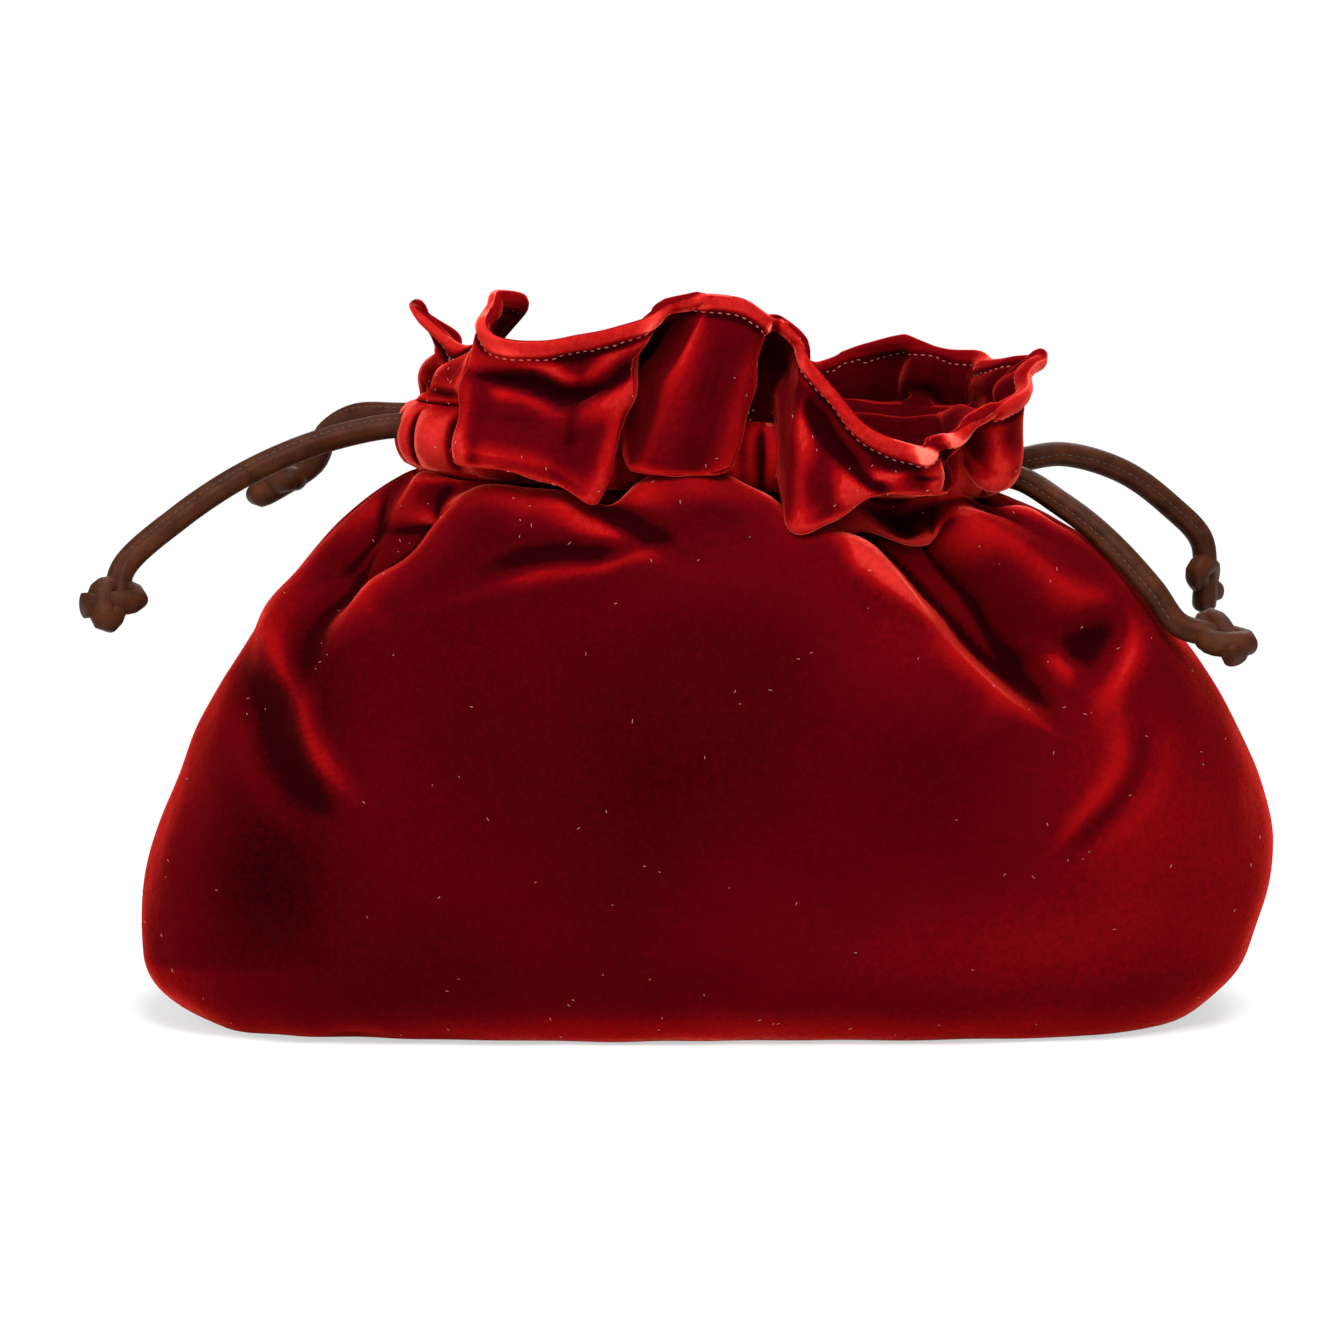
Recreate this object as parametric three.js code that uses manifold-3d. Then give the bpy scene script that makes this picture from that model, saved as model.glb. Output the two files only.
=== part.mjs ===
// Drawstring clutch bag: two gathered velvet panels sewn at the sides and under the base, a lining,
// and two leather drawcords that run round the neck in a stitched casing and end in knots.
// Millimetres, +Z up, -Y is the front, origin under the middle of the flat base.

import * as THREE from 'three';
import { mergeVertices } from 'three/addons/utils/BufferGeometryUtils.js';
import Module from 'manifold-3d';

const wasm = await Module();
wasm.setup();

// Driving dimensions of the sewn bag
const bagWidth = 292;
const bagDepth = 118;
const baseWidth = 236;
const baseDepth = 90;
const bellyHeightLeft = 18;
const bellyHeightRight = 47;
const neckHeight = 146.5;
const neckTilt = 6;
const neckWidth = 146;
const neckDepth = 56;
const casingBand = 18;
const frillHeight = 40;

// Cloth, seams and lining
const clothThickness = 2.4;
const hemThickness = 3.4;
const stitchPinch = 1.6;
const casingWall = 1.6;
const puckerHeight = 2.2;
const seamGap = 0.3;
const foldDepth = 15;
const shoulderRoll = 5;
const liningThickness = 0.8;
const liningGap = 0.6;
const liningSlack = 4.5;

// Drawcords
const cordDiameter = 6;
const cordClearance = 0.6;
const cordSpacing = 6.7;
const knotLength = 17;
const knotWidth = 13;
const knotTail = 5;
const turnTilt = 0.6;

// Fineness of the facets
const columns = 38;
const bodyRowsLow = 4;
const bodyRowsHigh = 11;
const casingRows = 4;
const frillRows = 5;
const liningColumns = 14;
const cordSides = 8;
const cordStep = 15;

const velvet = new THREE.MeshStandardMaterial({ color: 0x8e0a08, roughness: 0.9, metalness: 0 });
const satin = new THREE.MeshStandardMaterial({ color: 0x4a0c0e, roughness: 0.6, metalness: 0 });
const leather = new THREE.MeshStandardMaterial({ color: 0x5a3320, roughness: 0.55, metalness: 0 });

const clamp01 = (x) => Math.min(1, Math.max(0, x));
const mix = (a, b, k) => a + (b - a) * k;
const smooth = (from, to, x) => {
  const k = clamp01((x - from) / (to - from));
  return k * k * (3 - 2 * k);
};

// Smooth interpolation of a table whose rows start with their station.
function tableAt(rows, station) {
  let i = rows.findIndex((row) => row[0] >= station);
  i = Math.max(1, i < 0 ? rows.length - 1 : i);
  const slope = (k, c) => {
    const low = rows[Math.max(0, k - 1)];
    const high = rows[Math.min(rows.length - 1, k + 1)];
    return (high[c] - low[c]) / (high[0] - low[0]);
  };
  const [a, b] = [rows[i - 1], rows[i]];
  const span = b[0] - a[0];
  const k = clamp01((station - a[0]) / span);
  return a.slice(1).map((value, n) => {
    const c = n + 1;
    const [m0, m1] = [slope(i - 1, c) * span, slope(i, c) * span];
    const [k2, k3] = [k * k, k * k * k];
    const ease = 3 * k2 - 2 * k3;
    return (1 - ease) * value + ease * b[c] + (k3 - 2 * k2 + k) * m0 + (k3 - k2) * m1;
  });
}

// Plan outline: a superellipse half, from the left seam (t = 0) to the right seam (t = 1),
// with the columns spread evenly along it. The second value is the distance from the seam plane.
const squareness = 2.6;
const baseSquareness = 4;
const columnSpread = 0.15;
function outline(t, power = squareness) {
  const even = Math.PI * t;
  const angle = even + columnSpread * Math.sin(2 * even);
  const [c, s] = [-Math.cos(angle), Math.sin(angle)];
  const radius = (Math.abs(c) ** power + Math.abs(s) ** power) ** (-1 / power);
  return [c * radius, Math.max(0, s * radius)];
}

// Outward direction of the neck's oval in plan, on the panel of that side (-1 front, 1 back).
function outwardOnNeck(t, side) {
  const step = 1e-4;
  const [a, b] = [outline(Math.max(0, t - step)), outline(Math.min(1, t + step))];
  const along = new THREE.Vector3((b[0] - a[0]) * neckWidth, (b[1] - a[1]) * neckDepth * side, 0);
  const out = new THREE.Vector3(-along.y * side, along.x * side, 0).normalize();
  if (t <= 0 || t >= 1) out.set(t <= 0 ? -1 : 1, 0, 0);
  return out;
}

const neckLevel = (x) => neckHeight - (neckTilt * x) / neckWidth;

// A point of the neck's centre line, where the drawcords run.
function neckPoint(t, side) {
  const [across, away] = outline(t);
  const x = (across * neckWidth) / 2;
  return new THREE.Vector3(x, side * (seamGap / 2 + (away * neckDepth) / 2), neckLevel(x));
}

// Folds of lapped cloth. Each runs through points given as shares of the half width and of the neck
// height, down from the neck. The cloth rises by one share of the fold depth along the line and falls
// by another into the valley beside it. Reach is how far the ridge spreads to its high and low sides,
// valley how far off its floor lies and how wide it is.
const frontFolds = [
  {
    line: [[-0.34, 0.975], [-0.42, 0.923], [-0.453, 0.869], [-0.56, 0.78], [-0.61, 0.74], [-0.634, 0.66]],
    side: 1,
    rise: 0.32,
    drop: 1.0,
    reach: [26, 10],
    valley: [15, 12],
  },
  {
    line: [[0.04, 0.98], [0.105, 0.913], [0.257, 0.83], [0.298, 0.772], [0.382, 0.698], [0.575, 0.51]],
    side: -1,
    rise: 0.36,
    drop: 1.15,
    reach: [34, 10],
    valley: [17, 13],
  },
  {
    line: [[-0.736, 0.765], [-0.709, 0.648], [-0.675, 0.546], [-0.615, 0.43]],
    side: 1,
    rise: 0.28,
    drop: 0.3,
    reach: [18, 12],
    valley: [20, 14],
  },
  {
    line: [[0.42, 0.93], [0.58, 0.88], [0.72, 0.79], [0.73, 0.72], [0.63, 0.6]],
    side: 1,
    rise: 0.3,
    drop: 0.25,
    reach: [16, 10],
    valley: [14, 11],
  },
];
const backFolds = [
  {
    line: [[-0.12, 1.0], [-0.26, 0.88], [-0.44, 0.72], [-0.55, 0.58]],
    side: 1,
    rise: 0.3,
    drop: 0.85,
    reach: [30, 10],
    valley: [15, 12],
  },
  {
    line: [[0.3, 1.0], [0.42, 0.86], [0.52, 0.74], [0.62, 0.6]],
    side: -1,
    rise: 0.3,
    drop: 0.85,
    reach: [28, 10],
    valley: [15, 12],
  },
];

// Valleys that run down from the gathered casing: share of the way along the neck where they start,
// sideways drift, depth and half width as shares of the fold depth and of the neck, and reach down.
const frontGathers = [
  { at: 0.1, drift: -0.02, depth: 0.5, width: 0.03, reach: 0.35 },
  { at: 0.42, drift: 0.0, depth: 0.4, width: 0.03, reach: 0.16 },
  { at: 0.72, drift: 0.03, depth: 0.4, width: 0.03, reach: 0.25 },
  { at: 0.8, drift: 0.05, depth: 0.5, width: 0.03, reach: 0.35 },
  { at: 0.9, drift: 0.02, depth: 0.4, width: 0.03, reach: 0.3 },
];
const backGathers = [
  { at: 0.1, drift: -0.02, depth: 0.5, width: 0.035, reach: 0.4 },
  { at: 0.22, drift: -0.05, depth: 0.6, width: 0.035, reach: 0.5 },
  { at: 0.5, drift: 0.0, depth: 0.6, width: 0.035, reach: 0.45 },
  { at: 0.58, drift: 0.03, depth: 0.5, width: 0.03, reach: 0.3 },
  { at: 0.8, drift: 0.05, depth: 0.6, width: 0.035, reach: 0.5 },
  { at: 0.91, drift: 0.02, depth: 0.5, width: 0.03, reach: 0.35 },
];

// Frill stations along the neck, in shares of the frill's height: how far the casing is pushed out
// below it, then the lip's shift along, out and up from the casing's top, how far the waist tucks in,
// and the rim's shift along, out and up.
const leftTip = [0, 0.0, 0.2, 0.0, 0.12, 0.0, -0.06, 0.0, 0.6];
const rightTip = [1, 0.0, 0.0, 0.04, -0.05, 0.0, 0.36, 0.0, 0.4];
const frontFrill = [
  leftTip,
  [0.06, 0.0, 0.1, -0.02, 0.15, 0.05, 0.3, -0.02, 0.36],
  [0.125, 0.02, 0.1, 0.1, -0.05, 0.04, 0.58, 0.0, 0.68],
  [0.165, 0.04, 0.05, 0.3, -0.2, 0.08, 0.3, 0.05, 0.74],
  [0.2, 0.05, -0.03, 0.42, -0.3, 0.1, 0.08, 0.13, 0.62],
  [0.235, 0.05, -0.06, 0.45, -0.33, 0.14, 0.01, 0.25, 0.48],
  [0.27, 0.05, -0.08, 0.45, -0.35, 0.2, 0.04, 0.32, 0.46],
  [0.31, 0.05, -0.08, 0.44, -0.4, 0.2, 0.06, 0.38, 0.5],
  [0.35, 0.04, -0.08, 0.42, -0.52, 0.08, 0.26, 0.42, 0.62],
  [0.385, 0.0, -0.14, 0.04, -0.12, 0.16, 0.3, 0.36, 0.72],
  [0.425, 0.12, -0.08, 0.26, -0.12, 0.0, 0.24, 0.3, 0.74],
  [0.48, 0.2, -0.02, 0.34, -0.12, -0.04, 0.16, 0.26, 0.79],
  [0.535, 0.15, 0.03, 0.3, -0.12, -0.02, 0.12, 0.2, 0.75],
  [0.575, 0.02, 0.04, 0.04, -0.05, 0.14, 0.1, 0.18, 0.66],
  [0.61, 0.02, 0.04, 0.42, -0.58, 0.0, 0.06, 0.24, 0.56],
  [0.65, 0.04, 0.06, 0.5, -0.56, 0.06, 0.02, 0.36, 0.34],
  [0.7, 0.04, 0.03, 0.54, -0.4, 0.04, 0.02, 0.5, 0.12],
  [0.75, 0.04, 0.02, 0.52, -0.36, 0.0, 0.03, 0.6, -0.02],
  [0.79, 0.03, 0.03, 0.42, -0.3, 0.0, 0.06, 0.58, 0.02],
  [0.82, 0.0, 0.0, 0.2, -0.14, 0.04, -0.06, 0.5, 0.06],
  [0.855, 0.02, -0.1, 0.36, -0.24, 0.0, -0.06, 0.42, 0.16],
  [0.91, 0.0, -0.05, 0.1, -0.08, 0.0, 0.04, 0.22, 0.28],
  rightTip,
];
const backFrill = [
  leftTip,
  [0.08, 0.0, 0.05, 0.02, 0.1, 0.05, 0.3, 0.12, 0.4],
  [0.18, 0.05, 0.0, 0.4, -0.25, 0.1, 0.05, 0.45, 0.3],
  [0.28, 0.05, 0.0, 0.42, -0.3, 0.12, -0.05, 0.5, 0.2],
  [0.36, 0.0, 0.0, 0.03, 0.0, 0.0, 0.02, 0.2, 0.28],
  [0.46, 0.1, 0.0, 0.4, -0.25, 0.12, 0.0, 0.45, 0.22],
  [0.55, 0.1, 0.0, 0.36, -0.2, 0.1, 0.05, 0.4, 0.26],
  [0.63, 0.0, 0.0, 0.02, 0.05, 0.0, 0.0, 0.15, 0.24],
  [0.69, 0.05, 0.0, 0.36, -0.25, 0.1, 0.03, 0.4, 0.32],
  [0.765, 0.03, 0.0, 0.2, -0.1, 0.05, 0.02, 0.12, 0.5],
  [0.795, 0.0, 0.0, 0.05, 0.0, 0.05, 0.06, 0.2, 0.42],
  [0.835, 0.05, 0.0, 0.3, -0.15, 0.05, 0.05, 0.36, 0.4],
  [0.89, 0.0, 0.0, 0.05, 0.05, 0.0, 0.02, 0.1, 0.36],
  rightTip,
];

// The folds with their lines rounded, in millimetres.
function rounded(folds) {
  return folds.map((fold) => {
    const corners = fold.line.map(([x, z]) => new THREE.Vector2((x * bagWidth) / 2, z * neckHeight));
    const line = new THREE.SplineCurve(corners).getPoints(24).map((p) => [p.x, p.y]);
    return { ...fold, line, fromNeck: fold.line[0][1] > 0.95 };
  });
}

const panels = {
  front: { side: -1, folds: rounded(frontFolds), gathers: frontGathers, frill: frontFrill },
  back: { side: 1, folds: rounded(backFolds), gathers: backGathers, frill: backFrill },
};

// Shortest way from a point to a polyline: signed distance and share of the way along.
function offLine(line, x, z) {
  let best = { far: Infinity, along: 0 };
  for (let i = 0; i + 1 < line.length; i += 1) {
    const [ax, az] = line[i];
    const [dx, dz] = [line[i + 1][0] - ax, line[i + 1][1] - az];
    const k = clamp01(((x - ax) * dx + (z - az) * dz) / (dx * dx + dz * dz));
    const [ex, ez] = [x - ax - k * dx, z - az - k * dz];
    const far = Math.hypot(ex, ez);
    if (far < Math.abs(best.far)) {
      best = { far: far * Math.sign(dx * ez - dz * ex || 1), along: (i + k) / (line.length - 1) };
    }
  }
  return best;
}

// How far a fold lifts (or sinks) the surface there. It is broad at the neck, or fades in where it
// starts lower, and runs out below.
function foldLift(fold, x, z) {
  const { far, along } = offLine(fold.line, x, z);
  const high = far * fold.side;
  const taper = mix(1.15, 0.65, along);
  const start = fold.fromNeck ? 1 : smooth(0, 0.3, along);
  const fade = start * smooth(0, 0.3, 1 - along) * mix(1, 0.6, along);
  const ridge = Math.exp(-((high / (fold.reach[high > 0 ? 0 : 1] * taper)) ** 2));
  const floor = Math.exp(-(((high + fold.valley[0] * taper) / (fold.valley[1] * taper)) ** 2));
  return foldDepth * fade * (fold.rise * ridge - fold.drop * floor);
}

function gatherLift(gather, t, w) {
  const down = clamp01((1 - w) / gather.reach);
  const centre = gather.at + gather.drift * down;
  const width = gather.width * (1 + 0.6 * down);
  const across = (t - centre) / width;
  return -foldDepth * gather.depth * Math.exp(-across * across) * (1 - smooth(0.2, 1, down));
}

const seamFade = (t) => smooth(0, 0.1, Math.min(t, 1 - t));

// The bag's body before its folds: w = 0 at the edge of the base, 1 at the casing's lower stitches.
const bellyAt = 0.3;
function plainBody(panel, t, w) {
  const [across, away] = outline(t, mix(baseSquareness, squareness, smooth(0, 0.7, w)));
  const belly = mix(bellyHeightLeft, bellyHeightRight, (across + 1) / 2);
  const neckX = (across * neckWidth) / 2;
  const top = neckLevel(neckX) - casingBand / 2;
  let [halfWidth, halfDepth, z] = [bagWidth / 2, bagDepth / 2, belly];
  if (w < bellyAt) {
    const turn = ((w / bellyAt) * Math.PI) / 2;
    halfWidth = mix(baseWidth / 2, bagWidth / 2, Math.sin(turn));
    halfDepth = mix(baseDepth / 2, bagDepth / 2, Math.sin(turn));
    z = belly * (1 - Math.cos(turn));
  } else {
    const k = Math.sin((((w - bellyAt) / (1 - bellyAt)) * Math.PI) / 2);
    halfWidth = mix(neckWidth / 2 + stitchPinch, bagWidth / 2, (1 - k ** 1.65) ** 0.75);
    halfDepth = mix(neckDepth / 2 + stitchPinch, bagDepth / 2, (1 - k ** 2.6) ** 0.62);
    z = mix(belly, top, k) + shoulderRoll * away * smooth(0.6, 0.82, w) * (1 - smooth(0.82, 0.92, w));
  }
  return new THREE.Vector3(across * halfWidth, panel.side * (seamGap / 2 + away * halfDepth), z);
}

function bodyNormal(panel, t, w) {
  const step = 0.01;
  const [t0, t1] = [Math.max(0, t - step), Math.min(1, t + step)];
  const [w0, w1] = [Math.max(0, w - step), Math.min(1, w + step)];
  const along = plainBody(panel, t1, w).sub(plainBody(panel, t0, w));
  const up = plainBody(panel, t, w1).sub(plainBody(panel, t, w0));
  const normal = along.cross(up).multiplyScalar(-panel.side);
  if (t <= 0 || t >= 1) normal.y = 0;
  return normal.normalize();
}

function bodyLift(panel, t, w) {
  const plain = plainBody(panel, t, w);
  const folds = panel.folds.reduce((sum, fold) => sum + foldLift(fold, plain.x, plain.z), 0);
  const gathers = panel.gathers.reduce((sum, gather) => sum + gatherLift(gather, t, w), 0);
  const settle = smooth(0.05, 0.3, w) * (1 - smooth(0.86, 0.97, w));
  return Math.max(-foldDepth, folds + gathers) * settle * seamFade(t);
}

function bodyPoint(panel, t, w) {
  return plainBody(panel, t, w).addScaledVector(bodyNormal(panel, t, w), bodyLift(panel, t, w));
}

// Half thickness of the casing at a height above the cord line, with room for both cords.
function casingHalf(height) {
  const most = cordDiameter / 2 + cordClearance + casingWall;
  const share = height / (casingBand / 2);
  return stitchPinch + (most - stitchPinch) * Math.sqrt(Math.max(0, 1 - share ** 4));
}

function pucker(panel, t) {
  const wave = Math.sin(Math.PI * (18 * t + 0.7 * Math.sin(7 * t) + (panel.side > 0 ? 0.4 : 0)));
  return puckerHeight * (0.5 + 0.5 * wave) * seamFade(t);
}

// How far the gathers push the casing out there.
const belt = (panel, t) => Math.max(0, tableAt(panel.frill, t)[0]) * frillHeight;

// The casing's outer face, c = 0 at the lower row of stitches and 1 at the upper one.
function casingPoint(panel, t, c) {
  const height = mix(-casingBand / 2, casingBand / 2, c);
  const fullness = Math.sin(Math.PI * c);
  const out = casingHalf(height) + (pucker(panel, t) + belt(panel, t)) * fullness;
  return neckPoint(t, panel.side)
    .addScaledVector(outwardOnNeck(t, panel.side), out)
    .add(new THREE.Vector3(0, 0, height));
}

function casingThickness(panel, t, c) {
  const fullness = Math.sin(Math.PI * c);
  const plain = 2 * casingHalf(mix(-casingBand / 2, casingBand / 2, c));
  return plain + (1.6 * pucker(panel, t) + belt(panel, t)) * fullness;
}

// The frill: from the casing's upper stitches over its lip and waist to the rim.
function frillPoint(panel, t, f) {
  const sizes = tableAt(panel.frill, t).map((share) => share * frillHeight);
  const [, lipAlong, lipOut, lipUp, tuck, rimAlong, rimOut, rimUp] = sizes;
  const out = outwardOnNeck(t, panel.side);
  const start = casingPoint(panel, t, 1);
  const at = (along, away, up) => {
    const p = start.clone().addScaledVector(out, away).add(new THREE.Vector3(along, 0, up));
    if (t <= 0 || t >= 1) p.y = start.y;
    return p;
  };
  const waistOut = (lipOut + rimOut) / 2 - tuck;
  const waistUp = mix(lipUp, rimUp, 0.45);
  const points = [
    start,
    at(0, 0.25 * lipOut, 0.07 * frillHeight),
    at(lipAlong, lipOut, lipUp),
    at((lipAlong + rimAlong) / 2, waistOut, waistUp),
    at(rimAlong, rimOut, rimUp),
  ];
  const p = new THREE.CatmullRomCurve3(points).getPoint(f);
  p.y = panel.side * Math.max(seamGap / 2, p.y * panel.side);
  return p;
}

// Rows of the cloth from the seam under the base up to the rim: where each lies and its thickness.
function clothRows() {
  const low = Array.from({ length: bodyRowsLow }, (_, i) => (bellyAt * i) / bodyRowsLow);
  const high = Array.from({ length: bodyRowsHigh }, (_, i) => mix(bellyAt, 1, i / bodyRowsHigh));
  const body = [...low, ...high].map((w) => ({
    point: (panel, t) => bodyPoint(panel, t, w),
    wall: () => clothThickness,
  }));
  const casing = Array.from({ length: casingRows + 1 }, (_, i) => i / casingRows).map((c) => ({
    point: (panel, t) => casingPoint(panel, t, c),
    wall: (panel, t) => casingThickness(panel, t, c),
    across: true,
  }));
  const frill = Array.from({ length: frillRows }, (_, i) => (i + 1) / frillRows).map((f) => ({
    point: (panel, t) => frillPoint(panel, t, f),
    wall: () => mix(clothThickness, hemThickness, smooth(0.7, 0.9, f)),
  }));
  const seam = {
    point: (panel, t) => {
      const edge = bodyPoint(panel, t, 0);
      return new THREE.Vector3(0.86 * edge.x, (panel.side * seamGap) / 2, 0);
    },
    wall: () => clothThickness,
  };
  return [seam, ...body, ...casing, ...frill];
}

const gridNormal = (grid, j, i) => {
  const row = grid[j];
  const along = row[Math.min(i + 1, row.length - 1)].clone().sub(row[Math.max(i - 1, 0)]);
  const up = grid[Math.min(j + 1, grid.length - 1)][i].clone().sub(grid[Math.max(j - 1, 0)][i]);
  return along.cross(up);
};

// The inner face of a sheet: each point moved in by the wall there. Seam edges stay in their plane.
function innerGrid(panel, rows, outer) {
  return outer.map((points, j) =>
    points.map((p, i) => {
      const t = i / (points.length - 1);
      const inward = rows[j].across
        ? outwardOnNeck(t, panel.side).negate()
        : gridNormal(outer, j, i).multiplyScalar(panel.side);
      if (i === 0 || i === points.length - 1) inward.y = 0;
      if (j === 0) inward.set(0, 0, 1);
      const q = p.clone().addScaledVector(inward.normalize(), rows[j].wall(panel, t));
      q.y = panel.side * Math.max(seamGap / 2, q.y * panel.side);
      return q;
    }),
  );
}

// A closed sheet from its outer and inner grids, faces out.
function sheetGeometry(outer, inner, flip) {
  const [rows, wide] = [outer.length, outer[0].length];
  const points = [...outer.flat(), ...inner.flat()];
  const index = [];
  const quad = (a, b, c, d) => {
    const shorter = points[a].distanceTo(points[c]) <= points[b].distanceTo(points[d]);
    const faces = shorter ? [a, b, c, a, c, d] : [a, b, d, b, c, d];
    index.push(...(flip ? faces.reverse() : faces));
  };
  const out = (i, j) => j * wide + i;
  const ins = (i, j) => rows * wide + out(i, j);
  for (let j = 0; j + 1 < rows; j += 1) {
    for (let i = 0; i + 1 < wide; i += 1) {
      quad(out(i, j), out(i + 1, j), out(i + 1, j + 1), out(i, j + 1));
      quad(ins(i, j), ins(i, j + 1), ins(i + 1, j + 1), ins(i + 1, j));
    }
    quad(out(0, j), out(0, j + 1), ins(0, j + 1), ins(0, j));
    quad(out(wide - 1, j + 1), out(wide - 1, j), ins(wide - 1, j), ins(wide - 1, j + 1));
  }
  for (let i = 0; i + 1 < wide; i += 1) {
    quad(out(i + 1, 0), out(i, 0), ins(i, 0), ins(i + 1, 0));
    quad(out(i, rows - 1), out(i + 1, rows - 1), ins(i + 1, rows - 1), ins(i, rows - 1));
  }
  const geometry = new THREE.BufferGeometry().setFromPoints(points);
  geometry.setIndex(index);
  return geometry;
}

function solidOf(geometry) {
  const bare = new THREE.BufferGeometry().setAttribute('position', geometry.getAttribute('position'));
  bare.setIndex(geometry.index);
  const merged = mergeVertices(bare, 1e-4);
  return new wasm.Manifold(
    new wasm.Mesh({
      numProp: 3,
      vertProperties: new Float32Array(merged.getAttribute('position').array),
      triVerts: new Uint32Array(merged.index.array),
    }),
  );
}

function geometryOf(solid) {
  const mesh = solid.getMesh();
  const geometry = new THREE.BufferGeometry();
  geometry.setAttribute('position', new THREE.BufferAttribute(mesh.vertProperties.slice(), 3));
  geometry.setIndex(new THREE.BufferAttribute(mesh.triVerts.slice(), 1));
  geometry.computeVertexNormals();
  return geometry;
}

// A round rod along a list of points.
function rod(points, radius, steps) {
  const section = new THREE.Shape(
    Array.from({ length: cordSides }, (_, i) => {
      const angle = (2 * Math.PI * i) / cordSides;
      return new THREE.Vector2(radius * Math.cos(angle), radius * Math.sin(angle));
    }),
  );
  const extrudePath = new THREE.CatmullRomCurve3(points, false, 'centripetal');
  return solidOf(new THREE.ExtrudeGeometry(section, { steps, extrudePath }));
}

// Free cord ends, from the neck outwards: points chosen by hand.
const v = (x, y, z) => new THREE.Vector3(x, y, z);
const freeEnds = {
  leftFront: [
    v(-80, -10, 152.3),
    v(-91, -13, 150.5),
    v(-103.5, -20, 147),
    v(-118, -28, 140.5),
    v(-132, -35, 131.3),
    v(-145, -41, 119.7),
  ],
  leftBack: [v(-80, 10, 153.6), v(-91, 14, 153), v(-99, 19, 148), v(-103, 23, 140)],
  rightFront: [
    v(80, -10, 139),
    v(90.7, -16, 132.8),
    v(98, -20, 127.5),
    v(105.2, -24, 120.8),
    v(113, -27, 112),
    v(119.5, -29, 103.5),
  ],
  rightBack: [v(80, 10, 141.5), v(93.5, 14, 143), v(110, 19, 138), v(123.5, 23, 128.2), v(132, 26, 119)],
};

// The run of a cord inside the casing, from its own side round the far side and back.
function casingRun(from, level) {
  const shares = Array.from({ length: 9 }, (_, i) => mix(0.2, 1, i / 8)).map((t) => (from < 0 ? t : 1 - t));
  const lifted = (t, side) => neckPoint(t, side).add(new THREE.Vector3(0, 0, level));
  const there = shares.map((t) => lifted(t, -1));
  const back = shares.slice(0, -1).reverse().map((t) => lifted(t, 1));
  return [...there, ...back];
}

// A knot pulled tight on a cord's end: its round core, the turn of cord that lies across it, and the tail.
function knotOn(end, direction, roll) {
  const middle = end.clone().addScaledVector(direction, knotLength / 2 - cordDiameter / 4);
  const placed = (geometry, tilt) => {
    const turned = new THREE.Quaternion().setFromUnitVectors(v(0, 0, 1), direction);
    const leaning = new THREE.Quaternion().setFromEuler(new THREE.Euler(tilt, 0, roll, 'ZXY'));
    geometry.applyQuaternion(leaning).applyQuaternion(turned);
    return solidOf(geometry.translate(middle.x, middle.y, middle.z));
  };
  const [thick, long] = [0.42 * knotWidth, 0.46 * knotLength];
  const core = new THREE.SphereGeometry(1, 10, 8).scale(thick, thick, long);
  const turn = new THREE.TorusGeometry((knotWidth - cordDiameter) / 2, cordDiameter / 2, 8, 12);
  const tip = middle.clone().addScaledVector(direction, knotLength / 2 + knotTail);
  const tail = rod([middle, tip], cordDiameter / 2, 2);
  return placed(core, 0).add(placed(turn, turnTilt)).add(tail);
}

const sideEnds = { left: ['leftFront', 'leftBack'], right: ['rightFront', 'rightBack'] };
const knotRolls = { leftFront: 0.4, leftBack: 1.2, rightFront: 2.2, rightBack: -0.6 };
const cordLevel = { left: cordSpacing / 2, right: -cordSpacing / 2 };

function cordRoute(side) {
  const [front, back] = sideEnds[side].map((name) => freeEnds[name]);
  const run = casingRun(side === 'left' ? -1 : 1, cordLevel[side]);
  return [...front.slice().reverse(), ...run, ...back];
}

function straightRun(side, radius) {
  const route = cordRoute(side);
  const length = new THREE.CatmullRomCurve3(route, false, 'centripetal').getLength();
  return rod(route, radius, Math.round(length / cordStep));
}

// One drawcord, all one piece, with a knot in each end.
function drawcord(side) {
  let cord = straightRun(side, cordDiameter / 2);
  for (const name of sideEnds[side]) {
    const free = freeEnds[name];
    const end = free[free.length - 1];
    const direction = end.clone().sub(free[free.length - 2]).normalize();
    cord = cord.add(knotOn(end, direction, knotRolls[name]));
  }
  return cord;
}

// The room that a cord takes with its clearance: it leaves the tunnel and the two exits in the casing.
function cordRoom(side) {
  return straightRun(side, cordDiameter / 2 + cordClearance);
}

function panelMesh(name, panel, rooms) {
  const rows = clothRows();
  const stations = Array.from({ length: columns + 1 }, (_, i) => i / columns);
  const outer = rows.map((row) => stations.map((t) => row.point(panel, t)));
  const inner = innerGrid(panel, rows, outer);
  const cloth = solidOf(sheetGeometry(outer, inner, panel.side > 0));
  const sewn = rooms.reduce((solid, room) => solid.subtract(room), cloth);
  const mesh = new THREE.Mesh(geometryOf(sewn), velvet);
  mesh.name = name;
  return mesh;
}

// The lining hangs clear of the deepest fold near by, from the casing's inner face down to the base.
const liningRows = [0.0, 0.15, 0.3, 0.52, 0.72, 0.82, 0.9];
const nearShares = [-0.08, -0.04, 0, 0.04, 0.08];
function deepestNear(panel, t, w) {
  const sunk = (dt, dw) => -bodyLift(panel, clamp01(t + dt), clamp01(w + dw));
  return nearShares.flatMap((dt) => nearShares.map((dw) => sunk(dt, dw)));
}

function liningPoint(panel, t, w, depth) {
  const sunk = Math.max(0, ...deepestNear(panel, t, w));
  const inset = clothThickness + liningGap + sunk + liningSlack * smooth(0.15, 0.6, w) * seamFade(t) + depth;
  const p = plainBody(panel, t, w).addScaledVector(bodyNormal(panel, t, w), -inset);
  return w > 0 ? p : p.setZ(clothThickness + liningGap + depth);
}

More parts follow.
